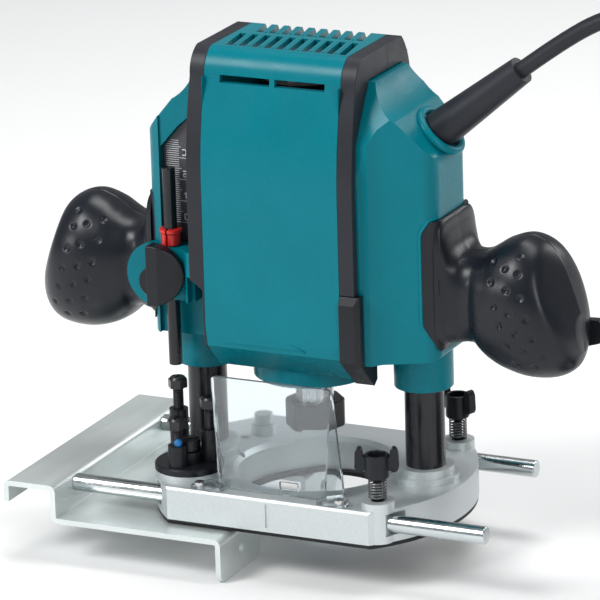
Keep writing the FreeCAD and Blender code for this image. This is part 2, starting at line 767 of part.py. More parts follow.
def wing_edge(way, spare=0.0):
    """Front or back edge of a wing in the side view, up to the top of its sloping shoulder."""
    if way < 0:
        edge = [(37.0, 60.0), (37.0, 160.0), (35.0, 180.0), (19.5, 205.5)]
    else:
        edge = [(34.8, 60.0), (34.8, 150.0), (30.5, 180.0), (14.4, 205.5)]
    return [(y + spare, z + spare) for y, z in edge]


def wing_side_waste(way):
    """What is cut off a wing's blank in the side view, above its sloping shoulder."""
    edge = wing_edge(way)
    points = [(60.0, 60.0), *edge, (edge[-1][0], 240.0), (60.0, 240.0)]
    return [(way * y, z) for y, z in points]


def wing_room(way):
    """The side view of a wing with a little to spare: the room that a band leaves for it."""
    edge = wing_edge(way, 0.15)
    points = [(-1.0, 60.0), *edge, (-1.0, edge[-1][1])]
    return [(way * y, z) for y, z in points]


def wing_hollow(side):
    """Front view of the room inside a wing."""
    points = [
        (35.8, S.wing_bottom + WALL), (66.0, S.wing_bottom + WALL), (66.0, 165.0), (64.5, 173.0),
        (53.5, 186.0), (45.0, 193.0), (41.0, 202.0), (35.8, 202.0),
    ]
    return [(side * x, z) for x, z in points]


def make_housing_half(name, way):
    """One half of the clamshell, split at the plane of the columns."""
    front = way < 0
    body = doc.addObject("PartDesign::Body", "HousingBody")
    panel = sketch(body, "YZ_Plane")
    outline(panel, side_profile(way))
    pad(body, panel, "Sizes.panel_width", symmetric=True)
    for side in SIDES:
        wing = sketch(body, "XZ_Plane")
        outline(wing, wing_profile(side))
        pad(body, wing, 37.0, reverse=not front)
        plan = sketch(body, "XY_Plane", 60.0)
        outline(plan, wing_plan_waste(side, way))
        pocket(body, plan, 160.0, reverse=True)
        shoulder = sketch(body, "YZ_Plane", side * 33.1)
        outline(shoulder, wing_side_waste(way))
        pocket(body, shoulder, 45.0, reverse=side > 0)
    # the core carries the side bands; its left side stops higher, clear of the depth stop
    for side in SIDES:
        core = sketch(body, "YZ_Plane", side * 33.0)
        outline(core, side_profile(way, S.band_wall + 0.1))
        pad(body, core, 5.0, reverse=side < 0)
    trim = sketch(body, "XZ_Plane", 24.0 if front else -60.0)
    rectangle(trim, (-45.0, 60.0), (-33.1, 111.0))
    pocket(body, trim, 36.0, reverse=True)
    nose_boss = sketch(body, "XY_Plane", NOSE_BOSS_FOOT)
    outline(nose_boss, [(-27.5, 0), (0, way * 27.5, "arc"), (27.5, 0)])
    pad(body, nose_boss, HOUSING_FOOT - NOSE_BOSS_FOOT + 1.0)

    # cavities: the motor's room in the middle, the columns' rooms in the wings
    room = sketch(body, "YZ_Plane")
    outline(room, side_profile(way, WALL))
    pocket(body, room, "Sizes.cavity_width", symmetric=True)
    for side in SIDES:
        hollow = sketch(body, "XZ_Plane")
        outline(hollow, wing_hollow(side))
        pocket(body, hollow, 16.6 if front else 13.0, reverse=front)
    sleeves = sketch(body, "XY_Plane", 60.0)
    for side in SIDES:
        circle(sleeves, side * S.column_offset, 0, "Sizes.sleeve_radius + 0.2")
    pocket(body, sleeves, 106.4, reverse=True)
    # opening for the spindle's nose
    nose = sketch(body, "XY_Plane", NOSE_BOSS_FOOT - 1)
    circle(nose, 0, 0, 19.0)
    pocket(body, nose, 14.0, reverse=True)

    # screw bosses
    bosses = sketch(body, "XZ_Plane")
    for x, z in SCREW_PLACES:
        circle(bosses, x, z, 2.9)
    pad(body, bosses, 16.8 if front else 18.0, reverse=not front)
    threads = sketch(body, "XZ_Plane")
    for x, z in SCREW_PLACES:
        circle(threads, x, z, 1.5)
    pocket(body, threads, 12.0 if front else 30.0, reverse=front)
    if not front:
        recess = sketch(body, "XZ_Plane", 0.1 - SCREW_SEAT)
        for x, z in SCREW_PLACES:
            circle(recess, x, z, 2.7)
        pocket(body, recess, 45.0)

    # cooling slots in the roof
    slots = sketch(body, "XY_Plane", HOUSING_TOP - 6.0)
    row, left, count = ((-23.5, -3.0), -30.0, 10) if front else ((1.2, 19.0), -27.0, 9)
    lean = 2.8
    for index in range(count):
        x = left + 6.1 * index
        outline(slots, [(x + lean, row[0]), (x + 3.2 + lean, row[0]), (x + 3.2, row[1]), (x, row[1])])
    pocket(body, slots, 10.0, reverse=True)
    # a long slot under the roof's edge, with a rib in its middle
    vent = sketch(body, "XZ_Plane", 30.0 if front else -32.0)
    for low, high in ((-25.5, -1.2), (1.2, 25.5)):
        rectangle(vent, (low, 202.6), (high, 206.0))
    pocket(body, vent, 15.0, reverse=True)
    if front:
        cut_depth_stop_features(body)
    else:
        lock_hole = sketch(body, "XZ_Plane", -30.0)
        circle(lock_hole, *SHAFT_LOCK, 4.08)
        pocket(body, lock_hole, 20.0)
        pivot_hole = sketch(body, "XZ_Plane", -13.8)
        circle(pivot_hole, *LOCK_LEVER, 3.06)
        pocket(body, pivot_hole, 20.0)
    half = cut(body, *(neck_room(side, way) for side in SIDES))
    if front:
        # the clamp's disc stands out over the left neck
        disc = cylinder(CLAMP_DISC_RADIUS, 7.4, (CLAMP_DISC[0], -24.4, CLAMP_DISC[1]), Y_AXIS)
        half = fuse(half, common(disc, box((-90.0, -30.0, 80.0), (-65.3, -10.0, 130.0))))
    keep(name, half)


def neck_room(side, way):
    """The rebate that a handle's neck plate lies in."""
    plan = doc.addObject("PartDesign::Body", "NeckPlan")
    across = sketch(plan, "XY_Plane", NECK_FOOT)
    outline(across, neck_plan(side, way))
    pad(plan, across, NECK_TOP - NECK_FOOT + 0.2)
    face = doc.addObject("PartDesign::Body", "NeckFace")
    front = sketch(face, "XZ_Plane")
    outline(front, [(side * x, z) for x, z in (
        (65.0, 96.6), (69.2, 87.6), (70.6, NECK_FOOT - 0.1), (95.0, NECK_FOOT - 0.1), (95.0, NECK_TOP + 0.1),
        (68.4, NECK_TOP + 0.1), (65.0, 138.6))])
    pad(face, front, 45.0, reverse=way > 0)
    return common(plan, face)


def neck_plan(side, way):
    """Plan of the rebate that a handle's neck sits in, at the outer corner of a wing."""
    if way > 0:
        floor = [(62.5, 17.5), (64.5, 16.9), (67.2, 14.6, "arc"), (69.0, 8.9)]
    elif side > 0:
        floor = [(62.5, 22.3), (64.8, 20.9), (67.8, 17.3, "arc"), (69.0, 12.9)]
    else:
        floor = [(67.2, 17.6), (69.0, 12.9)]
    points = [*floor, (69.0, 0.0), (90.0, 0.0), (90.0, 40.0), (floor[0][0], 40.0)]
    return [(side * p[0], way * p[1], *p[2:]) for p in points]


def scale_outline(inset):
    """Front view of the recess that holds the depth scale, under the wing's sloping shoulder."""
    return [
        (-62.5 + inset, 122.4 + inset), (-40.6 - inset, 122.4 + inset), (-40.6 - inset, 183.0 - inset),
        (-48.6, 181.0 - inset), (-53.8 + inset, 176.5 - inset), (-62.5 + inset, 166.5 - inset),
    ]


def cut_depth_stop_features(body):
    """Clamp disc, pole bracket, scale recess and the room above the stopper block."""
    disc = sketch(body, "XZ_Plane", 17.0)
    circle(disc, *CLAMP_DISC, CLAMP_DISC_RADIUS)
    pad(body, disc, 7.4)
    bracket = sketch(body, "XZ_Plane", 20.0)
    rectangle(bracket, (-67.0, 98.4), (-43.2, 122.4))
    pad(body, bracket, 11.0)
    pole_way = sketch(body, "XZ_Plane", 40.0)
    rectangle(pole_way, (-62.5, 122.4), (-40.6, 212.0))
    pocket(body, pole_way, 40.0 - POLE_ROOM_FLOOR)
    scale = sketch(body, "XZ_Plane", 40.0)
    outline(scale, scale_outline(0.0))
    pocket(body, scale, 40.0 - STOP_RECESS_FLOOR)
    room = sketch(body, "XZ_Plane", 40.0)
    rectangle(room, (-66.0, 60.0), (-33.15, 98.4))
    pocket(body, room, 40.0 - 19.6)
    bore = sketch(body, "XY_Plane", 90.0)
    circle(bore, *POLE, "Sizes.pole_bore_radius")
    pocket(body, bore, 40.0, reverse=True)
    screw = sketch(body, "XZ_Plane", 45.0)
    circle(screw, *CLAMP, 2.5)
    pocket(body, screw, 25.0)


def make_bands(name, way):
    """Soft covers over the housing's side corners: an angle section that follows the side view."""
    pieces = []
    for side in SIDES:
        body = doc.addObject("PartDesign::Body", "Band")
        start = side * (S.panel_width / 2 + 0.05)
        shell = sketch(body, "YZ_Plane", start)
        outline(shell, side_profile(way))
        pad(body, shell, "Sizes.band_width", reverse=side < 0)
        inside = sketch(body, "YZ_Plane", side * 30.0)
        outline(inside, [*side_profile(way, S.band_wall)[1:-1], (-way * 5.0, HOUSING_TOP - S.band_wall),
                         (-way * 5.0, HOUSING_FOOT + S.band_wall)])
        pocket(body, inside, 8.02, reverse=side > 0)
        # the wing takes the room behind the band
        wing = sketch(body, "YZ_Plane", side * 33.1)
        outline(wing, wing_room(way))
        pocket(body, wing, 10.0, reverse=side > 0)
        # bottom edge and, on the left, the slim lower part
        foot = sketch(body, "XZ_Plane", -60.0)
        rectangle(foot, (side * 30.0, 60.0), (side * 50.0, HOUSING_FOOT + S.band_wall + 1.0))
        pocket(body, foot, 120.0, reverse=True)
        if side < 0:
            slim = sketch(body, "XZ_Plane", -60.0)
            outline(slim, [(-34.3, 60.0), (-50.0, 60.0), (-50.0, 116.0), (-38.5, 111.2), (-34.3, 108.0)])
            pocket(body, slim, 120.0, reverse=True)
        elif way < 0:
            guard_room = sketch(body, "XZ_Plane", -60.0)
            rectangle(guard_room, (30.0, 60.0), (50.0, GUARD_TOP))
            pocket(body, guard_room, 120.0, reverse=True)
        pieces.append(body)
    keep(name, group(*pieces))


def make_corner_guard():
    """Black guard over the housing's lower right front corner."""
    body = new_body("corner_guard")
    shell = sketch(body, "YZ_Plane", 33.2)
    outline(shell, [(-24.3, 75.5), (-24.3, 70.0), (-27.6, 67.6), (-43.2, 82.0), (-43.2, GUARD_TOP - 4.0),
                    (-41.5, GUARD_TOP - 0.3), (-24.3, GUARD_TOP - 0.3)])
    pad(body, shell, 9.6)
    inside = sketch(body, "YZ_Plane", 30.0)
    outline(inside, [(-20.0, 69.0), (-25.2, 69.3), (-39.4, 82.7), (-39.4, 125.0), (-20.0, 125.0)])
    pocket(body, inside, 8.1, reverse=True)
    wing = sketch(body, "XZ_Plane", 37.3)
    rectangle(wing, (33.0, S.wing_bottom - 0.3), (50.0, 125.0))
    pocket(body, wing, 20.0)
    dress(body, "Chamfer", 2.0, lambda e: e.BoundBox.ZLength > 15 and abs(e.BoundBox.XMin - 42.8) < 0.05
          and abs(e.BoundBox.YMin + 43.2) < 0.05)


def make_scale_plate():
    body = new_body("scale_plate")
    face = sketch(body, "XZ_Plane", STOP_RECESS_FLOOR)
    outline(face, scale_outline(0.35))
    pad(body, face, 1.2)


def make_handle_half(name, side, way):
    """Half of a ball handle, lofted through ellipses and split at the columns' plane."""
    body = new_body(name)
    sections = []
    for reach, centre, half_height, half_depth in HANDLE_SECTIONS:
        section = sketch(body, "YZ_Plane", side * reach)
        tall = V(0, centre + half_height, 0)
        deep = V(half_depth, centre, 0)
        section.addGeometry(Part.Ellipse(tall, deep, V(0, centre, 0)))
        sections.append(section)
    loft = body.newObject("PartDesign::AdditiveLoft", "Loft")
    loft.Profile = sections[0]
    loft.Sections = sections[1:]
    # keep one half only
    other_half = sketch(body, "XZ_Plane")
    rectangle(other_half, (side * 60.0, 50.0), (side * 150.0, 160.0))
    pocket(body, other_half, 40.0, reverse=way > 0)
    # neck that wraps the wing's corner
    neck = sketch(body, "XY_Plane", NECK_FOOT + 0.1)
    outline(neck, neck_shell(side, way))
    pad(body, neck, NECK_TOP - NECK_FOOT - 0.2)
    corners = sketch(body, "XZ_Plane")
    outline(corners, [(side * x, z) for x, z in (
        (62.0, 133.5), (65.1, 138.5), (68.5, NECK_TOP), (68.5, 160.0), (62.0, 160.0))])
    outline(corners, [(side * x, z) for x, z in (
        (62.0, 103.5), (65.1, 96.8), (69.3, 87.8), (70.8, NECK_FOOT), (70.8, 80.0), (62.0, 80.0))])
    pocket(body, corners, 40.0, reverse=way < 0)
    if side < 0 and way < 0:
        clamp_room = sketch(body, "XZ_Plane", 12.0)
        circle(clamp_room, *CLAMP_DISC, CLAMP_DISC_RADIUS + 0.4)
        pocket(body, clamp_room, 20.0, reverse=True)
    # room for the switch
    room = sketch(body, "XZ_Plane")
    rectangle(room, (side * 84.0, 92.0), (side * 116.0, 118.0))
    pocket(body, room, 9.0, reverse=way < 0)
    if side > 0 and way > 0:
        slot = sketch(body, "XZ_Plane", -SWITCH_LEVER_FRONT + 0.4)
        rectangle(slot, (103.0, 80.0), (145.0, 101.0))
        pocket(body, slot, SWITCH_LEVER_THICKNESS + 0.8)
        pin_hole = sketch(body, "XZ_Plane", -9.0)
        circle(pin_hole, *SWITCH_PIVOT, 2.06)
        pocket(body, pin_hole, 10.0)


def neck_shell(side, way):
    """Plan of the neck's shell, 1.4 thick at the wing's face and thicker at its side."""
    if way < 0 and side < 0:
        points = [
            (67.3, 17.7), (69.1, 13.0), (69.1, 0.0), (71.8, 0.0), (71.8, 13.0), (70.5, 18.2, "arc"),
            (67.3, 20.9),
        ]
    elif way < 0:
        points = [
            (65.1, 20.8), (67.9, 17.4, "arc"), (69.1, 12.9), (69.1, 0.0), (71.8, 0.0),
            (71.8, 13.2), (70.2, 19.6, "arc"), (65.8, 23.1), (65.1, 23.5),
        ]
    else:
        points = [
            (65.1, 16.75), (67.3, 14.75, "arc"), (69.1, 8.9), (69.1, 0.0), (71.8, 0.0),
            (71.8, 9.0), (70.4, 16.2, "arc"), (66.0, 19.2), (65.1, 19.6),
        ]
    return [(side * p[0], way * p[1], *p[2:]) for p in points]


def make_switch():
    keep("switch_block", fuse(box((85.0, -8.0, 94.0), (110.0, 8.0, 112.0)),
                              box((110.0, -3.0, 99.0), (113.0, 3.0, 107.0))))
    body = new_body("switch_lever")
    side = sketch(body, "XZ_Plane", -SWITCH_LEVER_FRONT)
    outline(side, [
        (105.0, 87.5), (128.0, 83.6), (134.6, 85.6), (137.2, 91.0, "arc"), (134.2, 96.4),
        (126.0, 96.0), (105.0, 94.5),
    ])
    pad(body, side, SWITCH_LEVER_THICKNESS, reverse=True)
    pin = sketch(body, "XZ_Plane", -9.3)
    circle(pin, *SWITCH_PIVOT, 2.0)
    pad(body, pin, 9.4, reverse=True)


def make_sleeves():
    sleeves, bushes = [], []
    for side in SIDES:
        x = side * S.column_offset
        outer = cylinder("Sizes.sleeve_radius", "Sizes.sleeve_length", (x, 0, S.sleeve_bottom))
        bore = cylinder("Sizes.sleeve_bore_radius", "Sizes.sleeve_length - 3", (x, 0, S.sleeve_bottom))
        sleeves.append(cut(outer, bore))
        for foot in (S.sleeve_bottom + 0.6, S.sleeve_bottom + 49.0):
            bushes.append(ring("Sizes.sleeve_bore_radius", "Sizes.bush_bore_radius", "Sizes.bush_length",
                               (x, 0, foot)))
    keep("column_sleeves", group(*sleeves))
    keep("guide_bushes", group(*bushes))


def make_housing_screws():
    screws = []
    for x, z in SCREW_PLACES:
        head = cylinder(2.6, 2.4, (x, SCREW_SEAT, z), Y_AXIS)
        shank = cylinder(1.46, SCREW_SEAT + 11.6, (x, -11.6, z), Y_AXIS)
        recess = prism(6, 1.4, 2.0, (x, SCREW_SEAT + 1.1, z), Y_AXIS)
        screws.append(cut(fuse(head, shank), recess))
    keep("housing_screws", group(*screws))


def make_lock_lever():
    """Plunge lock at the back left: a pivot, a hub and an arm with a thumb pad."""
    x, z = LOCK_LEVER
    body = new_body("lock_lever")
    pivot = sketch(body, "XZ_Plane", -14.3)
    circle(pivot, x, z, 3.0)
    pad(body, pivot, 10.0, reverse=True)
    hub = sketch(body, "XZ_Plane", -21.3)
    circle(hub, x, z, 9.0)
    pad(body, hub, 8.0, reverse=True)
    arm = sketch(body, "XZ_Plane", -21.9)
    outline(arm, [
        (x - 4.0, z - 7.0), (x + 5.0, z - 7.0), (x + 1.0, z - 33.0), (x - 4.0, z - 37.0, "arc"),
        (x - 10.0, z - 33.0),
    ])
    pad(body, arm, 6.0, reverse=True)


def make_shaft_lock():
    x, z = SHAFT_LOCK
    rod = cylinder(4.0, 14.0, (x, 33.0, z), Y_AXIS)
    button = cylinder(6.0, 2.6, (x, 44.6, z), Y_AXIS)
    keep("shaft_lock", fuse(rod, button))


# ---------------------------------------------------------------- motor
def make_stator():
    keep("stator_core", ring("Sizes.stator_radius", "Sizes.stator_bore_radius", "Sizes.stack_length",
                             (0, 0, STACK_FOOT)))
    ends = []
    for foot in (STACK_FOOT - 9.0, STACK_FOOT + S.stack_length):
        ends.append(ring("Sizes.stator_radius - 2", "Sizes.stator_bore_radius + 1", 9.0, (0, 0, foot)))
    keep("stator_windings", group(*ends))


def make_armature():
    """Shaft with its nose for the collet, laminated core, winding heads and commutator."""
    body = new_body("spindle")
    turn = sketch(body, "XZ_Plane")
    outline(turn, [
        (S.collet_radius + 0.05, NOSE_FOOT), (S.nose_radius, NOSE_FOOT), (S.nose_radius, 86.0),
        (S.shaft_radius, 86.0), (S.shaft_radius, 203.0), (0, 203.0), (0, 60.0),
        (S.collet_radius + 0.05, 60.0),
    ])
    revolve(body, turn)
    keep("armature_core", ring("Sizes.armature_radius", "Sizes.shaft_radius", "Sizes.stack_length",
                               (0, 0, STACK_FOOT)))
    ends = []
    for foot in (STACK_FOOT - 8.0, STACK_FOOT + S.stack_length):
        ends.append(ring("Sizes.armature_radius - 2.5", "Sizes.shaft_radius", 8.0, (0, 0, foot)))
    keep("armature_windings", group(*ends))
    copper = ring("Sizes.commutator_radius", "Sizes.shaft_radius", 14.0, (0, 0, COMMUTATOR_FOOT))
    keep("commutator", copper)


def make_fan():
    """Cooling fan: a hub, a disc and upright blades."""
    body = new_body("cooling_fan")
    disc = sketch(body, "XY_Plane", 92.0)
    circle(disc, 0, 0, "Sizes.fan_radius")
    circle(disc, 0, 0, "Sizes.shaft_radius")
    pad(body, disc, 1.6)
    hub = sketch(body, "XY_Plane", 92.0)
    circle(hub, 0, 0, 9.0)
    circle(hub, 0, 0, "Sizes.shaft_radius")
    pad(body, hub, 11.0)
    blade = sketch(body, "XY_Plane", 92.0)
    rectangle(blade, (8.5, -0.8), (S.fan_radius - 0.3, 0.8))
    one = pad(body, blade, 9.0)
    pattern = body.newObject("PartDesign::PolarPattern", "Blades")
    pattern.Originals = [one]
    pattern.Axis = (blade, ["N_Axis"])
    pattern.Angle = 360
    pattern.Occurrences = 11
    body.Tip = pattern


def make_bearings():
    outer_rings, inner_rings, balls = [], [], []
    for foot, outer, inner, height in ((LOWER_BEARING, 17.0, S.nose_radius, 10.0),
                                       (UPPER_BEARING, 12.5, S.shaft_radius, 8.0)):
        wall = (outer - inner) / 4
        outer_rings.append(ring(outer, outer - wall, height, (0, 0, foot)))
        inner_rings.append(ring(inner + wall, inner, height, (0, 0, foot)))
        middle = (outer + inner) / 2
        for index in range(8):
            x, y = polar((0, 0), middle, 45.0 * index)
            ball = doc.addObject("Part::Sphere", "Ball")
            ball.Radius = wall - 0.06
            ball.Placement.Base = V(x, y, foot + height / 2)
            balls.append(ball)
    keep("bearing_outer_rings", group(*outer_rings))
    keep("bearing_inner_rings", group(*inner_rings))
    keep("bearing_balls", group(*balls))
    lower = ring(29.8, 17.0, 8.0, (0, 0, LOWER_BEARING + 1))
    upper = ring(19.0, 12.5, 7.0, (0, 0, UPPER_BEARING + 0.5))
    keep("bearing_holders", group(lower, upper))


def make_brushes():
    holders, brushes, springs = [], [], []
    for side in SIDES:
        def reach(near, far, half_y, half_z):
            low, high = sorted((side * near, side * far))
            return box((low, -half_y, BRUSH_LEVEL - half_z), (high, half_y, BRUSH_LEVEL + half_z))
        holders.append(cut(reach(13.5, 30.0, 4.6, 5.0), reach(13.0, 28.5, 3.2, 3.6)))
        brushes.append(cut(reach(11.0, 21.0, 3.1, 3.5),
                           cylinder("Sizes.commutator_radius + 0.06", 20.0, (0, 0, BRUSH_LEVEL - 10))))
        springs.append(ring(2.4, 1.7, 7.0, (side * 21.2, 0, BRUSH_LEVEL), X_AXIS * side))
    keep("brush_holders", group(*holders))
    keep("carbon_brushes", group(*brushes))
    keep("brush_springs", group(*springs))


def make_collet():
    body = new_body("collet_cone")
    turn = sketch(body, "XZ_Plane")
    r = S.collet_radius
    outline(turn, [
        (S.collet_bore_radius, 37.0), (r - 0.9, 37.0), (r, 38.8), (r, 59.0), (S.collet_bore_radius, 59.0),
    ])
    revolve(body, turn)
    slit = sketch(body, "XY_Plane", 35.0)
    rectangle(slit, (-0.5, 1.0), (0.5, 8.0))
    one = pocket(body, slit, 20.0, reverse=True)
    pattern = body.newObject("PartDesign::PolarPattern", "Slits")
    pattern.Originals = [one]
    pattern.Axis = (slit, ["N_Axis"])
    pattern.Angle = 360
    pattern.Occurrences = 3
    body.Tip = pattern

    hexagon = prism(6, "Sizes.nut_radius + 0.6", "Sizes.nut_height", (0, 0, NUT_FOOT), spin=15)
    round_ = cylinder("Sizes.nut_radius - 0.3", "Sizes.nut_height", (0, 0, NUT_FOOT))
    thread = cylinder("Sizes.nose_radius + 0.06", 20.0, (0, 0, NOSE_FOOT - 0.3))
    mouth = cylinder("Sizes.collet_radius + 0.1", 10.0, (0, 0, NUT_FOOT - 2))
    keep("collet_nut", cut(common(hexagon, round_), thread, mouth))


# ---------------------------------------------------------------- lead
def tube_along(points, radius):
    """A round tube of straight runs joined by tangent arcs, each as large as its two runs allow."""
    points = [V(*p) for p in points]
    edges = []
    here = points[0]
    radii = []
    for before, corner, after in zip(points, points[1:], points[2:]):
        into = corner - before
        out = after - corner
        half_turn = into.getAngle(out) / 2
        shorter = min(into.Length, out.Length)
        into.normalize()
        out.normalize()
        back = 0.45 * shorter
        radii.append(back / math.tan(half_turn))
        start = corner - into * back
        end = corner + out * back
        inward = (out - into).normalize()
        centre = corner + inward * (radii[-1] / math.cos(half_turn))
        middle = centre - inward * radii[-1]
        edges.append(Part.LineSegment(here, start).toShape())
        edges.append(Part.Arc(start, middle, end).toShape())
        here = end
    edges.append(Part.LineSegment(here, points[-1]).toShape())
    path = Part.Wire(edges)
    way = (points[1] - points[0]).normalize()
    profile = Part.Wire(Part.Circle(points[0], way, radius).toShape())
    solid = path.makePipeShell([profile], True, False)
    expected = math.pi * radius**2 * path.Length
    print("cord length %.0f mm, radii %s mm, volume ratio %.4f" % (
        path.Length, [round(r) for r in radii], solid.Volume / expected))
    return solid


def make_lead():
    guard = cone("Sizes.guard_root_radius", "Sizes.guard_tip_radius", "Sizes.guard_length",
                 GUARD_ROOT, GUARD_WAY)
    inside = GUARD_ROOT + GUARD_WAY * CORD_START
    bore = cylinder("Sizes.cord_radius", 60.0, inside, GUARD_WAY)
    keep("cord_guard", cut(guard, bore))

    x, y = COIL_CENTRE
    lead = doc.addObject("Part::Feature", "Lead")
    lead.Shape = tube_along((tuple(inside), *LEAD), S.cord_radius)
    outside = cylinder(COIL_RINGS[0] + S.cord_radius, 2 * S.cord_radius * COIL_LAYERS, (x, y, FLOOR))
    tail_start = V(x + COIL_RINGS[0], y + 8.0, FLOOR + S.cord_radius)
    tail = cylinder("Sizes.cord_radius", PLUG_REAR - tail_start.y, tail_start, Y_AXIS)
    keep("cord", group(cut(lead, outside), cut(tail, outside)))
    outer, inner = COIL_RINGS[0] + S.cord_radius, COIL_RINGS[1] - S.cord_radius
    keep("cord_coil", ring(outer, inner, 2 * S.cord_radius * COIL_LAYERS, (x, y, FLOOR)))
    make_tie()

    rear = (x + COIL_RINGS[0], PLUG_REAR, FLOOR + S.cord_radius)
    keep("plug_body", make_plug_body(rear))
    keep("plug_pins", make_plug_pins(rear))


def make_plug_body(rear):
    """Flat two-pin plug: a tapered sleeve and a body of six corners that stays on the floor."""
    x, y, z = rear
    sleeve = cone(4.4, 6.4, 22.0, (x, y - 6.0, z + PLUG_LIFT), Y_AXIS)
    body = doc.addObject("PartDesign::Body", "PlugBody")
    plan = sketch(body, "XY_Plane", z + PLUG_LIFT - 7.0)
    outline(plan, [
        (x - 6.5, y + 14.0), (x + 6.5, y + 14.0), (x + 13.0, y + 22.0), (x + 13.0, y + 14.0 + PLUG_BODY),
        (x - 13.0, y + 14.0 + PLUG_BODY), (x - 13.0, y + 22.0),
    ])
    pad(body, plan, 14.0)
    bore = cylinder("Sizes.cord_radius + 0.01", 20.0, (x, y - 7.0, z), Y_AXIS)
    return cut(fuse(sleeve, body), bore)


def make_plug_pins(rear):
    x, y, z = rear
    face = y + 14.0 + PLUG_BODY
    return group(*(cylinder(2.0, 19.0, (x + way * 9.3, face, z + PLUG_LIFT), Y_AXIS) for way in SIDES))


def make_tie():
    """A strap over the coil's turns."""
    x, y = COIL_CENTRE
    turns = (COIL_RINGS[1] - S.cord_radius, COIL_RINGS[0] + S.cord_radius)
    top = FLOOR + 2 * S.cord_radius * COIL_LAYERS
    strap = box((turns[0] - 1.8, -4.0, FLOOR + 1.0), (turns[1] + 1.5, 4.0, top + 1.4))
    gap = box((turns[0] - 0.6, -5.0, FLOOR), (turns[1] + 0.3, 5.0, top + 0.2))
    tie = cut(strap, gap)
    tie.Placement = FreeCAD.Placement(V(x, y, 0), FreeCAD.Rotation(Z_AXIS, 215))
    keep("cord_tie", tie)


make_base_casting()
make_sole_plate()
make_sole_screws()
make_columns()
make_return_springs()
make_wing_bolts()
make_wing_bolt_springs()
make_chip_deflector()
make_deflector_screws()
make_stopper_block()
make_turret_pivot()
make_stopper_bolts()
make_pole_and_pointer()
make_clamp_knob()
make_guide_rods()
make_fence()
make_housing_half("housing_front", -1)
make_housing_half("housing_rear", 1)
make_bands("bands_front", -1)
make_bands("bands_rear", 1)
make_corner_guard()
make_scale_plate()
for side_name, side in (("left", -1), ("right", 1)):
    for way_name, way in (("front", -1), ("rear", 1)):
        make_handle_half(f"handle_{side_name}_{way_name}", side, way)
make_switch()
make_sleeves()
make_housing_screws()
make_lock_lever()
make_shaft_lock()
make_stator()
make_armature()
make_fan()
make_bearings()
make_brushes()
make_collet()
make_lead()

doc.recompute()
failed = [o.Label for o in doc.Objects if "Invalid" in o.State or "Error" in o.State]
for label in failed:
    print("failed:", label)
for name, obj in nodes.items():
    shape = obj.Shape
    if shape.isNull() or not shape.isValid() or not shape.Solids:
        failed.append(name)
        print("bad shape:", name)
    else:
        print(f"{name}: {len(shape.Solids)} solids, {shape.Volume / 1000:.2f} cm3")
if failed:
    raise SystemExit("some sub-parts failed: " + ", ".join(failed))

os.makedirs("parts", exist_ok=True)
for old in os.listdir("parts"):
    os.remove(os.path.join("parts", old))
for name, obj in nodes.items():
    obj.Shape.exportStep(os.path.join("parts", name + ".step"))
print(len(nodes), "sub-parts written")
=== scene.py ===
import math

import bmesh
import bpy
from mathutils import Matrix, Vector


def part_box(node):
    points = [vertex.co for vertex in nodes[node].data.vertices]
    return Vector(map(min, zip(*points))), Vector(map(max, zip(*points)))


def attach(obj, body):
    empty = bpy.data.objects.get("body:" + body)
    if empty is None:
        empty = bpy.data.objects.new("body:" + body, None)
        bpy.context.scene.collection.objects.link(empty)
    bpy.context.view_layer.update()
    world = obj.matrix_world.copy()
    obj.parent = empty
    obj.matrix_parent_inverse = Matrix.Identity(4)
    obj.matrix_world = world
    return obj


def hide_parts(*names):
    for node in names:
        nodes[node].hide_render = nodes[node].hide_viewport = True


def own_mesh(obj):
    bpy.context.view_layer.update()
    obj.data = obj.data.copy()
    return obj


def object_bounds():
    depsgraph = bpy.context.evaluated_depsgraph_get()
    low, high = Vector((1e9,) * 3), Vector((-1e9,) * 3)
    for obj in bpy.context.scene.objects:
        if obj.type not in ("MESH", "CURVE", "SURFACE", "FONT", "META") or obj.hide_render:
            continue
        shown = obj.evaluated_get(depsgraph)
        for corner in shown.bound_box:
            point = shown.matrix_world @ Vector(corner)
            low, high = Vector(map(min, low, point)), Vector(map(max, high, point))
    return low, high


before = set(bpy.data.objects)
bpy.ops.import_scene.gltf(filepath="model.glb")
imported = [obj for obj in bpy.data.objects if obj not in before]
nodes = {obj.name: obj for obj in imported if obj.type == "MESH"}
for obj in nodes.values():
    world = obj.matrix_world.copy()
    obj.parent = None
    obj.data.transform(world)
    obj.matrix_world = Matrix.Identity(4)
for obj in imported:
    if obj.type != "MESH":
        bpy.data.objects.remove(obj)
cad_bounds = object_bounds()
MM = 0.001
FLOOR = cad_bounds[0][2]


# ---------------------------------------------------------------- materials
# the part of a noise texture's values that shows
MIDDLE_RANGE = (0.35, 0.65)
NOISE_ROUGHNESS = 0.55


